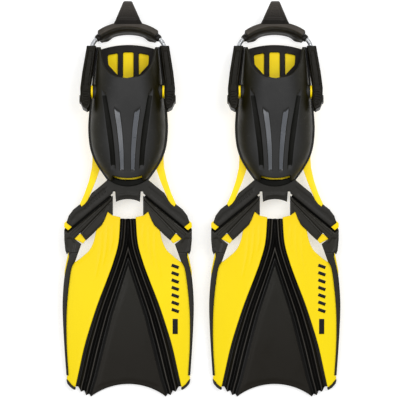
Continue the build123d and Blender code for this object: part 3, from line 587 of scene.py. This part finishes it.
RAIL_INNER = [
    (-84, -88), (-88.9, -102), (-95.4, -114.9), (-99.6, -140.9), (-102.9, -173.4), (-104.4, -205.7),
    (-104, -249.4), (-101.3, -297),
]
RAIL_OUTER = [
    (-105.1, -297), (-108.3, -249.4), (-110.5, -205.7), (-111, -173.4), (-109, -141), (-105.9, -120),
    (-98, -88),
]
BUMPER = [
    (-105.4, -303), (-103.8, -311), (-97.5, -318), (-90.5, -322.5), (-88.9, -318.6), (-97, -312.5),
    (-101.5, -306),
]
WING_THICKNESS = 4.0
ARM_THICKNESS = 9.6
RAIL_HEIGHT = 13.0
BUMPER_HEIGHT = 14.0
LIP_THICKNESS = 1.5
LIP_LIFT = -7.75
WEB_THICKNESS = 4.0
WEB_LIFT = -5.6
GROOVE_END_LIFT = -9.3

wing_edge = curve(WING_INNER)
wing_outline = wing_edge + WING_OUTER + curve(VENT_EDGE, 4) + WING_ROOT
ribs = []
for rib in WING_RIBS:
    line = np.array(curve(rib, 6))
    width = 3.4 * np.sin(np.linspace(0.35, math.pi - 0.1, len(line)))
    left = [(x - w, y) for (x, y), w in zip(line, width)]
    right = [(x + w, y) for (x, y), w in zip(line, width)]
    ribs.append((on_blade(left + right[::-1]), 0.7, 2.6))
# a plain row of slanted bars stands where a maker would print a mark, on the right wing only
marks = [on_blade(bar((-79.5 - 0.03 * k, -112 - 12.5 * k), 13, 5.5, 0.35)) for k in range(7)]
marks.append(on_blade(bar((-79.5, -214), 9, 26, 0.0)))


def wing_shape(print_marks):
    print_features = [(loop, 0.12, 0.3) for loop in print_marks]
    return plate(
        on_blade(wing_outline), WING_THICKNESS, 1.2, 3.2, features=ribs + print_features, rim=(2.6, 0.45),
        painted=[(loop, 1) for loop in print_marks],
    )


plain_wing = wing_shape([])
printed_wing = wing_shape(marks)

arm_panel = [
    (-29.5, -4), (-30, -19), (-37, -27), (-44, -38), (-54, -48), (-62, -56), (-70.5, -62), (-76.5, -55.5),
]
arm_shape = plate(on_blade(WING_ARM), ARM_THICKNESS, 1.8, 2.6, features=[(on_blade(arm_panel), -0.7, 0.9)])

EDGE_START, EDGE_END = on_blade([(-26, 11.2), (-94.7, -45.4)])
GROOVE = 3.4


def beside_groove(along, aside):
    """A place measured along the fixed arm's edge, then away from the arm."""
    forward = (Vector(EDGE_END) - Vector(EDGE_START)).normalized()
    place = Vector(EDGE_START) + forward * along - Vector((forward.y, -forward.x)) * aside
    return (place.x, place.y)


lip_length = math.dist(EDGE_START, EDGE_END) - 4
lip, web = (
    [beside_groove(*p) for p in ((5, far), (lip_length, far), (lip_length, near), (5, near))]
    for far, near in ((GROOVE + 3.5, GROOVE - 5.5), (GROOVE + 3.5, GROOVE))
)
groove_end = on_blade([(-86, -39.5), (-96, -33), (-106.6, -42), (-107.4, -51), (-101, -57), (-91, -52)])
rail_outline = on_blade(curve(RAIL_INNER) + curve(RAIL_OUTER))
head_bead = on_blade([(-30, 1.6), (-84, -50.5), (-95, -60), (-99, -57.5), (-94, -52.4), (-30, 4.2)])
shoulder = on_blade(
    [(-96, -63), (-88.5, -72), (-91, -84), (-95, -96), (-98.6, -88), (-102.6, -80), (-104.2, -64)]
)
groove_floor = join(
    plate(lip, LIP_THICKNESS, 0.5, 3.0, lift=LIP_LIFT),
    plate(web, WEB_THICKNESS, 0.4, 3.0, lift=WEB_LIFT),
    plate(groove_end, LIP_THICKNESS, 0.5, 3.0, lift=GROOVE_END_LIFT),
)
rail_shape = join(
    plate(
        on_blade(RAIL_HEAD), ARM_THICKNESS, 1.7, 2.4, features=[(head_bead, 0.9, 1.0), (shoulder, -0.6, 1.2)],
    ),
    plate(rail_outline, RAIL_HEIGHT, 2.1, 2.4),
    # the groove's lip, web and end are painted near-black as painted shade
    painted_all(groove_floor, 1),
)
bumper_shape = plate(on_blade(softened_corners(BUMPER, 2.5)), BUMPER_HEIGHT, 2.3, 2.0)

deliver(
    "wing_arm_moulding", arm_shape, BLADE, "{side}wing", "wing_arm", [rail_rubber],
    paired=True,
)
deliver(
    "edge_rail_moulding", rail_shape, BLADE, "{side}wing", "edge_rail",
    [rail_rubber, shade_painted_rubber], paired=True,
)
deliver(
    "tip_bumper_moulding", bumper_shape, BLADE, "{side}wing", "tip_bumper", [rail_rubber],
    paired=True,
)
deliver(
    "left_wing_moulding", plain_wing, BLADE, "left_wing", "left_wing",
    [yellow_wing, print_ink],
)
deliver(
    "right_wing_moulding", reflected(printed_wing), BLADE, "right_wing", "right_wing",
    [yellow_wing, print_ink],
)

# ---- pleats and centre panel ---------------------------------------------------------------------
PANEL_SIDE = [(0, -110.5), (-27, -195), (-54.2, -303.6), (-63.9, -334)]
PLEAT_FOLDS = (0, -1, 1, -1, 1, -1, 0)
PANEL_THICKNESS = 3.0
PLEAT_DEPTH = 3.0
PLEAT_SHEET = 1.6
PLEAT_TOP = -31.5
PLEAT_END = ((-96, -314), (-60, -338))
PER_FOLD = 8
PLEAT_ROWS = 90

edge_x, edge_y = np.array(wing_edge)[::-1].T
side_x, side_y = np.array(PANEL_SIDE)[::-1].T
spread_at_panel = -np.interp(PANEL_SIDE[0][1], edge_y, edge_x)


def pleat_x(share, y):
    """Distance across at a share of the way from the wing to the panel."""
    first = np.interp(y, edge_y, edge_x) - 0.6
    last = np.where(y < PANEL_SIDE[0][1], np.interp(y, side_y, side_x), first + 0.6 + spread_at_panel)
    return first + (last + 0.5 - first) * share


folds = len(PLEAT_FOLDS) - 1
shares = np.linspace(0, 1, folds * PER_FOLD + 1)
heights = np.zeros(len(shares))
for shift in (-0.16, -0.08, 0, 0.08, 0.16):
    heights += np.interp(shares * folds + shift, range(folds + 1), PLEAT_FOLDS) / 5
end_y = np.full(len(shares), -326.0)
for _ in range(30):
    x = pleat_x(shares, end_y)
    reach = (x - PLEAT_END[0][0]) / (PLEAT_END[1][0] - PLEAT_END[0][0])
    end_y = PLEAT_END[0][1] + reach * (PLEAT_END[1][1] - PLEAT_END[0][1]) + 3 - 2.6 * (heights + 0.5)
upper = []
lower = []
for row in np.linspace(0, 1, PLEAT_ROWS):
    y = PLEAT_TOP + (end_y - PLEAT_TOP) * row
    x = pleat_x(shares, y)
    swell = 1 + 0.12 * math.sin(math.pi * row)
    for px, (_, py), height in zip(x, on_blade(zip(x, y)), heights):
        upper.append((px, py, height * PLEAT_DEPTH * swell + PLEAT_SHEET / 2))
        lower.append((px, py, height * PLEAT_DEPTH * swell - PLEAT_SHEET / 2))
columns = len(shares)
total = len(upper)
faces = grid_faces(PLEAT_ROWS, columns, flip=True) + grid_faces(PLEAT_ROWS, columns, total)
pleat_highlights = []
# crest faces take the grey painted highlight; in the lower rows the upper half of the first slope beside the
# wing takes the paler rail rubber as painted light on that slope
for row in range(PLEAT_ROWS - 1):
    for c in range(columns - 1):
        crest = (heights[c] + heights[c + 1]) / 2 > 0.62
        pleat_highlights.append(1 if crest else 2 if row > 34 and 1 <= c <= 4 else 0)
rings = [[r * columns for r in range(PLEAT_ROWS)], [r * columns + columns - 1 for r in range(PLEAT_ROWS)],
         list(range(columns)), list(range(total - columns, total))]
walls = [(a, b, b + total, a + total) for ring in rings for a, b in zip(ring, ring[1:])]
pleat_shape = (upper + lower, faces + walls, pleat_highlights + [0] * (len(pleat_highlights) + len(walls)))
cut = bmesh.new()
corners = [cut.verts.new(p) for p in pleat_shape[0]]
for face, paint in zip(pleat_shape[1], pleat_shape[2]):
    cut.faces.new([corners[k] for k in face]).material_index = paint
geometry = list(cut.verts) + list(cut.edges) + list(cut.faces)
bmesh.ops.bisect_plane(cut, geom=geometry, plane_co=(0, 0, 0), plane_no=(1, 0, 0), clear_outer=True)
cut.verts.index_update()
pleat_shape = (
    [tuple(v.co) for v in cut.verts],
    [tuple(v.index for v in f.verts) for f in cut.faces],
    [f.material_index for f in cut.faces],
)
cut.free()
deliver(
    "pleats", pleat_shape, BLADE, "blade", "bellows",
    [pleat_rubber, pleat_crest_highlight, rail_rubber], paired=True,
    bend=("{side}wing", (-24.5, -184, 19.5), (-49.5, -177, 20.1)),
)

panel_foot = arc(PANEL_SIDE[-1], (0, -312.3), (-PANEL_SIDE[-1][0], PANEL_SIDE[-1][1]), 30)
panel_outline = PANEL_SIDE + panel_foot[1:-1] + mirrored(PANEL_SIDE)[:-1]
panel_field = [
    (0, -128), (-23.5, -199), (-49.5, -300), (-54, -318), (-30, -310.5), (0, -306), (30, -310.5), (54, -318),
    (49.5, -300), (23.5, -199),
]
panel_shape = plate(
    on_blade(panel_outline), PANEL_THICKNESS, 0.9, 3.6, features=[(on_blade(panel_field), 0.35, 4.0)],
)
deliver("centre_panel_moulding", panel_shape, BLADE, "blade", "centre_panel", [centre_nylon])

# ---- yoke ----------------------------------------------------------------------------------------
ARM_TOP = [
    (-33.3, 35), (-48.3, 22.1), (-61.4, 11.6), (-67.8, 0.2), (-72.8, -6.3), (-78.4, -10.4),
    (-80.4, -6.8), (-92.3, -16), (-100.3, -26.7), (-104, -38.1),
]
YOKE_THICKNESS = 10.0
LIP_WALL_HEIGHT = 7.0
LIP_WALL_LIFT = 5.6
ARM_EDGE = [(-94.7, -45.4), (-26, 11.2)]
BRIDGE_SLIT = [(-25.3, 14.5), (-21.6, 14.5), (-20.2, -3)]
half_yoke = ARM_TOP + ARM_EDGE + BRIDGE_SLIT
yoke_outline = half_yoke + arc(BRIDGE_SLIT[-1], (0, 1.7), (20.2, -3), 16)[1:-1] + mirrored(half_yoke)
arm_field = [
    (-34, 24.5), (-49, 13), (-60, 4), (-74, -13), (-88, -21.5), (-97, -33), (-95.5, -38.5), (-37, 9.5),
]
arm_direction = math.atan2(-56.6, -68.7)
ticks = []
for number in range(8):
    along = 6 + 6.1 * number
    middle = (-35.5 + along * math.cos(arm_direction), 20.5 + along * math.sin(arm_direction))
    ticks.append((on_blade(bar(middle, 3.0, 8.4, arm_direction - 0.18)), 1.1, 0.5))
fields = [(on_blade(loop), -0.3, 1.1) for loop in (arm_field, mirrored(arm_field))]
bridge_bead = [(-18.6, 12)] + arc((-18, 1.8), (0, 6), (18, 1.8), 12) + [(18.6, 12), (0, 14)]
fields.append((on_blade(bridge_bead), 0.9, 3.0))
lip_outline = arc((-32, 42.5), (0, 34.2), (32, 42.5), 20) + arc((33, 35), (0, 23.5), (-33, 35), 20)
lip_wall = plate(on_blade(lip_outline), LIP_WALL_HEIGHT, 1.8, 2.2, lift=LIP_WALL_LIFT)
yoke_shape = join(
    plate(on_blade(yoke_outline), YOKE_THICKNESS, 2.0, 2.4, features=fields + ticks),
    # the toe lip is painted near-black as painted shade
    painted_all(lip_wall, 1),
)
deliver("yoke_moulding", yoke_shape, BLADE, "foot", "yoke", [yoke_rubber, shade_painted_rubber])

# ---- footbed -------------------------------------------------------------------------------------
FOOTBED_SIDE = [
    (-46, 254.5), (-50.5, 230), (-53.5, 204), (-57, 165), (-59, 125), (-56, 90), (-46, 66), (-31, 50),
]
FOOTBED_THICKNESS = 4.0
FOOTBED_LIFT = SOLE_PLATE + FOOTBED_THICKNESS / 2
SIDE_WINDOW = [(-35, 244.6), (-17.7, 248), (-17.7, 210.3), (-34, 228.3)]
MIDDLE_WINDOW = [(-8.8, 249.4), (8.8, 249.4), (8.8, 204.5), (-8.8, 204.5)]
footbed_side = curve(FOOTBED_SIDE, 6)
footbed_outline = footbed_side + mirrored(footbed_side) + arc((46, 254.5), (0, 262), (-46, 254.5), 18)[1:-1]
windows = [
    softened_corners(on_sole(loop), 3.0)
    for loop in (SIDE_WINDOW, MIDDLE_WINDOW, mirrored(SIDE_WINDOW))
]
ridges = [(on_sole(bar((0, y), 74, 3.0, 0.0)), 0.5, 1.0) for y in range(96, 200, 9)]
footbed_shape = plate(
    on_sole(footbed_outline), FOOTBED_THICKNESS, 1.3, 3.0, holes=windows, features=ridges, lift=FOOTBED_LIFT,
)
deliver("footbed_moulding", footbed_shape, SOLE, "foot", "footbed", [footbed_rubber])

# ---- foot pocket ---------------------------------------------------------------------------------
# (place along the foot, half width, height over the sole plate)
POCKET_STATIONS = [
    (258, 51.0, 96), (230, 54.2, 95), (204, 56.8, 92), (178, 59.4, 86), (150, 62.0, 78),
    (120, 63.5, 68), (92, 61.0, 59), (72, 55.0, 52), (56, 46.5, 46), (42, 37.0, 41), (33, 30.5, 37),
]
# edges of the two flutes on each side of the vamp: place, then inner pair, then outer pair
FLUTES = [
    (260, 12.0, 24.5, 40.8, 43.0), (188, 12.0, 24.5, 40.8, 43.0), (178, 12.0, 24.0, 35.4, 43.4),
    (150, 11.3, 22.5, 30.1, 39.7), (118, 7.6, 18.0, 24.7, 35.6), (82, 5.3, 14.5, 21.0, 30.8),
    (50, 5.3, 12.6, 19.2, 28.6), (30, 5.3, 12.2, 18.5, 27.4),
]
ARCH_POWER = 2.6
WALL = 4.0
OPENING_START = 203.0
BAND_STEPS = (0, 0.05, 0.1, 0.16, 0.32, 0.5, 0.68, 0.84, 0.9, 0.95, 1)
REAR_ROWS = 26
FRONT_ROWS = 92

station = np.array(curve(POCKET_STATIONS, 6))[::-1]
flute_line = np.array(curve(FLUTES, 6))[::-1]


def opening_height(y):
    """Height of the top opening's edge, which falls towards the heel and rounds off at the horns."""
    start = sole_height(OPENING_START) + 92
    end = sole_height(257) + 48
    line = start + (end - start) * (y - OPENING_START) / (257 - OPENING_START)
    past = np.clip((y - 249) / 9, 0, 1)
    return line - 16 * (1 - np.sqrt(1 - past**2))


def front_edge(x):
    """Where the vamp ends over the toes: an arc between two side walls."""
    arc_depth = 118 - np.sqrt(80**2 - np.minimum(np.abs(x), 30) ** 2) - 33
    return 33 + arc_depth * (1 - ease((np.abs(x) - 26) / 2.4))


def columns_at(y):
    """Angle of every column of the left half, from the crown down to the sole, and its place in a flute."""
    half = np.interp(y, station[:, 0], station[:, 1])
    high = np.interp(y, station[:, 0], station[:, 2]) - SOLE_PLATE
    keys_x = [0.0] + [np.interp(y, flute_line[:, 0], flute_line[:, k]) for k in (1, 2, 3, 4)]
    keys = [math.acos(min(1.0, (x / half) ** (ARCH_POWER / 2))) for x in keys_x] + [0.0]
    top = math.pi / 2
    if y > OPENING_START:
        rise = min(1.0, max(0.02, (opening_height(y) - sole_height(y) - SOLE_PLATE) / high))
        top = math.asin(rise ** (ARCH_POWER / 2))
    plain = np.linspace(0, 1, 7)
    side = np.linspace(0, 1, 25)
    angles = []
    for band, steps in enumerate((plain, BAND_STEPS, plain, BAND_STEPS, side)):
        for step in steps[(1 if band else 0):]:
            angles.append((keys[band] + (keys[band + 1] - keys[band]) * step) * top / (math.pi / 2))
    return np.array(angles), half, high


band_of = [0] * 7 + [1] * 10 + [2] * 6 + [3] * 10 + [4] * 24
step_of = list(np.linspace(0, 1, 7)) + list(BAND_STEPS[1:]) + [0] * 6 + list(BAND_STEPS[1:]) + [0] * 24
pocket_columns = len(band_of)


def flute_depth(y, column):
    """Depth of the flutes under the vamp, and whether the place is on a flute's floor."""
    band, across = band_of[column], step_of[column]
    if band == 1:
        ends = ease((148 + 8 * across - y) / 2.5) * ease((y - 47) / 3)
        wall = ease(across / 0.12) * ease((1 - across) / 0.12)
        return 1.7 * ends * wall * (0.75 + 0.25 * across), ends
    if band == 3:
        ends = ease((188 - y) / 16) * ease((y - 50) / 8)
        wall = ease(across / 0.14) * ease((1 - across) / 0.5)
        return 3.4 * ends * wall, ends
    return 0.0, 0.0


toe_angles, toe_half, _ = columns_at(38)
toe_x = toe_half * np.cos(toe_angles) ** (2 / ARCH_POWER)
toe_y = front_edge(toe_x)
rear = np.linspace(258, OPENING_START, REAR_ROWS)[:, None] * np.ones(pocket_columns)
share = np.linspace(0, 1, FRONT_ROWS)[1:, None]
places = np.vstack([rear, OPENING_START + (toe_y - OPENING_START) * share])
skin = np.zeros(places.shape + (3,))
depths = np.zeros(places.shape)
floors = np.zeros(places.shape)
for r in range(places.shape[0]):
    for c in range(pocket_columns):
        y = places[r, c]
        if c == 0 or places[r, c] != places[r, c - 1]:
            angles, half, high = columns_at(y)
        x = -half * max(0.0, math.cos(angles[c])) ** (2 / ARCH_POWER)
        skin[r, c] = (x, y, sole_height(y) + SOLE_PLATE + high * math.sin(angles[c]) ** (2 / ARCH_POWER))
        depths[r, c], floors[r, c] = flute_depth(y, c)
skin[REAR_ROWS - 1 :, 0, 0] = 0
square = np.cross(np.gradient(skin, axis=0), np.gradient(skin, axis=1))
square /= np.linalg.norm(square, axis=2)[:, :, None] + 1e-12
square[REAR_ROWS - 1 :, 0, 0] = 0
square[:, -1] = (-1, 0, 0)
square /= np.linalg.norm(square, axis=2)[:, :, None] + 1e-12
outward = np.sign(square[60, 40, 2])
outer = skin - outward * square * depths[:, :, None]
inner = skin - outward * square * np.maximum(WALL, depths + 1.6)[:, :, None]
inner[REAR_ROWS - 1 :, 0, 0] = 0
rows = places.shape[0]
total = rows * pocket_columns
points = [tuple(p) for p in outer.reshape(-1, 3)] + [tuple(p) for p in inner.reshape(-1, 3)]
faces = grid_faces(rows, pocket_columns) + grid_faces(rows, pocket_columns, total, flip=True)
paints = []
# inner flute floors take the paler painted sheen, outer flute floors the near-black painted shade
for r in range(rows - 1):
    for c in range(pocket_columns - 1):
        band, across = band_of[c + 1], step_of[c + 1]
        on_floor = min(floors[r, c], floors[r + 1, c], floors[r + 1, c + 1]) > 0.9
        flat_part = 0.12 < across < 0.93 and band_of[c] == band
        paints.append({1: 1, 3: 2}.get(band, 0) if on_floor and flat_part else 0)
paints += [0] * ((rows - 1) * (pocket_columns - 1))


def rounded_rim(edge, neighbours):
    """Faces of a half-round rim that joins the outer skin to the inner one along a line of point numbers."""
    made = []
    lines = [list(edge)]
    for turn in (0.25, 0.5, 0.75):
        line = []
        for k, beside in zip(edge, neighbours):
            a, b, n = (np.array(points[i]) for i in (k, k + total, beside))
            out = a - n
            out /= np.linalg.norm(out) + 1e-12
            reach = np.linalg.norm(a - b) / 2
            angle = turn * math.pi
            points.append(tuple((a + b) / 2 + (a - b) / 2 * math.cos(angle) + out * reach * math.sin(angle)))
            line.append(len(points) - 1)
        lines.append(line)
    lines.append([k + total for k in edge])
    for first, second in zip(lines, lines[1:]):
        made += [(a, b, d, c) for a, b, c, d in zip(first, first[1:], second, second[1:])]
    return made


opening = [r * pocket_columns for r in range(REAR_ROWS)]
foot_line = [r * pocket_columns + pocket_columns - 1 for r in range(rows)]
heel_line = list(range(pocket_columns))
toe_line = list(range(total - pocket_columns, total))
rims = rounded_rim(opening, [k + 1 for k in opening])
rims += rounded_rim(heel_line, [k + pocket_columns for k in heel_line])
rims += rounded_rim(toe_line, [k - pocket_columns for k in toe_line])
rims += [(a, b, b + total, a + total) for a, b in zip(foot_line, foot_line[1:])]
half_pocket = (points, faces + rims, paints + [0] * len(rims))
level = Matrix.Identity(4)
pocket_finishes = [pocket_rubber, sheen_painted_rubber, shade_painted_rubber]
# a rubber boss swells round the root of each ear
boss_path = [(x, PIVOT_Y, PIVOT_Z) for x in (-50, -55.6, -57.4, -58.3, -58.8)]
boss = tube(boss_path, (12.6, 12.4, 11.9, 11.2, 9.8), 40)
deliver(
    "foot_pocket_moulding", join(half_pocket, boss, reflected(join(half_pocket, boss))), level, "foot",
    "foot_pocket", pocket_finishes, crease=50,
)

# ---- heel strap: pad, tab and springs ------------------------------------------------------------
SPRING_EXIT = (-60.9, 81.0)
SPRING_HEADING = 83.0
TIGHT_RADIUS = 20.9
WIDE_RADIUS = 83.5
PAD_REACH = 113.8
PAD_HALF_ANGLE = 36.0
WIRE_RADIUS = 0.58
COIL_RADIUS = 3.42
COIL_PITCH = 1.28
CORE_RADIUS = 2.9
TAB_THICKNESS = 5.0


def spring_point(length):
    """A place along the spring's centre line, from where it leaves the buckle."""
    heading = math.radians(SPRING_HEADING)
    x, y = SPRING_EXIT
    if length < 0:
        return (x + length * math.cos(heading), y + length * math.sin(heading), 0)
    tight = TIGHT_RADIUS * math.radians(SPRING_HEADING - 40)
    centre = (x + TIGHT_RADIUS * math.sin(heading), y - TIGHT_RADIUS * math.cos(heading))
    turn = heading - min(length, tight) / TIGHT_RADIUS
    x, y = centre[0] - TIGHT_RADIUS * math.sin(turn), centre[1] + TIGHT_RADIUS * math.cos(turn)
    if length > tight:
        centre = (x + WIDE_RADIUS * math.sin(turn), y - WIDE_RADIUS * math.cos(turn))
        turn -= (length - tight) / WIDE_RADIUS
        x, y = centre[0] - WIDE_RADIUS * math.sin(turn), centre[1] + WIDE_RADIUS * math.cos(turn)
    return (x, y, 0)


coil_path = []
for length in np.arange(-8, 31, COIL_PITCH / 14):
    here = Vector(spring_point(length))
    ahead = (Vector(spring_point(length + 0.1)) - here).normalized()
    aside = ahead.cross(Vector((0, 0, 1)))
    turn = 2 * math.pi * length / COIL_PITCH
    across = math.cos(turn) * aside + math.sin(turn) * Vector((0, 0, 1))
    coil_path.append(tuple(here + COIL_RADIUS * across))
coil = tube(coil_path, [WIRE_RADIUS] * len(coil_path), 6)
core_path = [spring_point(length) for length in np.arange(-8, 31, 2)]
core = tube(core_path, [CORE_RADIUS] * len(core_path), 10)
spring_shape = join(coil, reflected(coil))
core_shape = join(core, reflected(core))
exit_mark = tuple(STRAP @ Vector((0, 83, 0)))
pad_mark = tuple(STRAP @ Vector((0, 97, 0)))
deliver(
    "spring_coils", spring_shape, STRAP, "strap", "strap_spring", [spring_steel],
    bend=("heel_pad", exit_mark, pad_mark), crease=80,
)
deliver(
    "spring_cores", core_shape, STRAP, "strap", None, [spring_steel],
    bend=("heel_pad", exit_mark, pad_mark), crease=60,
)

PAD_PROFILE = curve([
    (79.0, -17.5), (78.8, -10), (77.7, -5.2), (77.2, 0), (77.7, 5.2), (78.8, 10), (79.0, 17.5),
    (79.8, 19.9), (81.6, 20.6), (85.6, 20.6), (88.2, 19.8), (89.2, 17.5), (89.2, 9), (89.8, 4.6),
    (90.0, 0), (89.8, -4.6), (89.2, -9), (89.2, -17.5), (88.2, -19.8), (85.6, -20.6), (81.6, -20.6),
    (79.8, -19.9), (79.0, -17.5),
], 3)[:-1]
pad_points = []
pad_turns = list(np.linspace(-PAD_HALF_ANGLE + 1.2, PAD_HALF_ANGLE - 1.2, 61))
pad_turns = [-PAD_HALF_ANGLE, -PAD_HALF_ANGLE + 0.4] + pad_turns + [PAD_HALF_ANGLE - 0.4, PAD_HALF_ANGLE]
for turn in pad_turns:
    closeness = PAD_HALF_ANGLE - abs(turn)
    shrink = 1 - 0.16 * (1 - ease(closeness / 1.2)) - 0.07 * (1 - ease(closeness / 9))
    flare = 3.4 * math.exp(-(((abs(turn) - 27) / 6) ** 2))
    for radius, z in PAD_PROFILE:
        r = 84 + (radius - 84) * (1 - 0.4 * (1 - ease(closeness / 1.2)))
        if radius < 84 and z < 0:
            r -= flare * min(1.0, -z / 16)
        x, y = r * math.sin(math.radians(turn)), r * math.cos(math.radians(turn))
        pad_points.append((x, PAD_REACH - WIDE_RADIUS + y, z * shrink))
ring = len(PAD_PROFILE)
pad_faces = []
for r in range(len(pad_turns) - 1):
    for c in range(ring):
        a, b = r * ring + c, r * ring + (c + 1) % ring
        pad_faces.append((a, b, b + ring, a + ring))
pad_faces += [tuple(range(ring)), tuple(reversed(range(len(pad_points) - ring, len(pad_points))))]
# faces high on the pad's upper rim take the paler painted highlight
pad_rim_light = [int(np.mean([pad_points[k][2] for k in face]) > 16.5) for face in pad_faces]
band_shape = (pad_points, pad_faces, pad_rim_light)
sleeve_path = [spring_point(length) for length in np.arange(15.5, 28, 1.0)]
sleeve = tube(sleeve_path, np.interp(np.arange(len(sleeve_path)), (0, 1, 4, 12), (4.8, 5.4, 6.2, 6.3)), 18)
tab_outline = softened_corners(
    [(-25, 0), (-21, 8), (-7.6, 41), (-5.6, 42.2), (5.6, 42.2), (7.6, 41), (21, 8), (25, 0)], 2,
)
tab_field = [(-13.6, 13), (-6.2, 36.5), (6.2, 36.5), (13.6, 13)]
tab_bars = [(bar((0, 18 + 5 * k), 15.5 - 2.6 * k, 2.0, 0), 1.3, 0.6) for k in range(4)]
tab_features = [(tab_field, -0.9, 0.8), (bar((0, 9.2), 33, 2.2, 0), 0.8, 0.7)] + tab_bars
tab_shape = moved(plate(tab_outline, TAB_THICKNESS, 1.6, 2.0, features=tab_features), STRAP.inverted() @ TAB)
pad_shape = join(band_shape, sleeve, reflected(sleeve), tab_shape)
deliver(
    "heel_pad_moulding", pad_shape, STRAP, "heel_pad", "heel_pad", [strap_rubber, strap_rim_highlight],
    crease=45,
)

# ---- buckle tops: a framed panel and a ribbed thumb grip on each cover ---------------------------
COVER_OUTLINE = [
    (-53.5, 80), (-69.5, 80), (-76.8, 32), (-79.8, 4), (-78.8, -20.4), (-74.8, -30), (-67.8, -34),
    (-64.8, -32), (-61.8, -24), (-61.8, 12), (-57, 48),
]
GRIP_THICKNESS = 2.4
GRIP_LIFT = 9.6
cover_top = [tuple(p) for p in inset(np.array(COVER_OUTLINE, float), 3.4)]
cover_field = [(-66.2, 8), (-74.6, 7), (-72.4, 31), (-66.6, 70), (-59.6, 70), (-61.4, 49)]
cover_ribs = [(bar((-70.3, -26 + 4.6 * k), 10.5, 2.0, 0.12), 0.9, 0.6) for k in range(6)]
cover_shape = plate(
    cover_top, GRIP_THICKNESS, 0.7, 2.2, features=[(cover_field, -0.9, 0.9)] + cover_ribs, lift=GRIP_LIFT,
)
deliver("buckle_grip", cover_shape, STRAP, "strap", None, [black_nylon], paired=True)

# ---- hard pieces that keep their CAD shape, with moulded radii -----------------------------------
# CAD node, radius, body, slot name, finish, and whether there is one on each side
HARD_PIECES = (
    ("sole_frame", 0.9, "foot", "yellow_frame", yellow_frame, False),
    ("sole_grips", 0.7, "foot", "sole_rubber", sole_rubber, False),
    ("buckle_cover", 0.6, "strap", "black_nylon", black_nylon, True),
    ("buckle_swivel", 0.4, "strap", "black_nylon", black_nylon, True),
    ("spring_anchor", 0.3, "strap", "black_nylon", black_nylon, True),
    ("release_button", 0.4, "{side}button", "black_nylon", black_nylon, True),
)
for node, radius, body, slot, finish, paired in HARD_PIECES:
    softened_copy(node, f"{node}_moulding", radius, body, finish, paired)

# ---- floor, light and camera ---------------------------------------------------------------------
# Painted board, lit a little from below so that shadows on it stay faint.
floor_finish = moulding(
    "studio_floor", "#cfcfcf", "#cbcbcb", (0.85, 0.95), patch=900, grain=3, height=0.0, specular=0.1,
)
floor_shader = floor_finish.node_tree.nodes["Principled BSDF"]
floor_shader.inputs["Emission Color"].default_value = (1, 1, 1, 1)
floor_shader.inputs["Emission Strength"].default_value = 0.5
FLOOR_HALF = 6.0
FLOOR_DROP = 0.0006
floor_mesh = bpy.data.meshes.new("studio_floor")
CORNERS = ((-1, -1), (1, -1), (1, 1), (-1, 1))
floor_corners = [(x * FLOOR_HALF, y * FLOOR_HALF, -FLOOR_DROP) for x, y in CORNERS]
floor_mesh.from_pydata(floor_corners, [], [(0, 1, 2, 3)])
floor_mesh.materials.append(floor_finish)
floor = bpy.data.objects.new("studio_floor", floor_mesh)
bpy.context.collection.objects.link(floor)


def softbox(name, place, aim, size, power, tint="#ffffff"):
    light = bpy.data.lights.new(name, "AREA")
    light.shape = "RECTANGLE"
    light.size, light.size_y = size
    light.energy = power
    light.color = colour(tint)[:3]
    lamp = bpy.data.objects.new(name, light)
    lamp.location = place
    lamp.rotation_euler = (Vector(aim) - Vector(place)).to_track_quat("-Z", "Y").to_euler()
    bpy.context.collection.objects.link(lamp)


softbox("key_softbox", (0.95, 0.6, 2.3), (0, 0, 0), (1.1, 1.5), 30)
softbox("fill_softbox", (-1.0, -0.1, 2.3), (0, 0, 0), (1.0, 1.8), 24)
softbox("heel_softbox", (0.1, 1.7, 1.5), (0, 0.1, 0), (1.6, 0.6), 7)
world = bpy.data.worlds.new("white_studio")
world.use_nodes = True
world.node_tree.nodes["Background"].inputs["Color"].default_value = (1, 1, 1, 1)
world.node_tree.nodes["Background"].inputs["Strength"].default_value = 0.4
bpy.context.scene.world = world
bpy.context.scene.view_settings.view_transform = "Standard"

CAMERA_HEIGHT = 5.0
SENSOR_WIDTH = 36.0
VIEW_WIDTH = 0.68       # metres seen across, on the floor
camera_data = bpy.data.cameras.new("overhead_camera")
camera = bpy.data.objects.new("overhead_camera", camera_data)
camera.location = (-0.0025, 0.0, CAMERA_HEIGHT)
camera_data.sensor_width = SENSOR_WIDTH
camera_data.lens = SENSOR_WIDTH * CAMERA_HEIGHT / VIEW_WIDTH
camera_data.clip_end = 50.0
bpy.context.collection.objects.link(camera)
bpy.context.scene.camera = camera
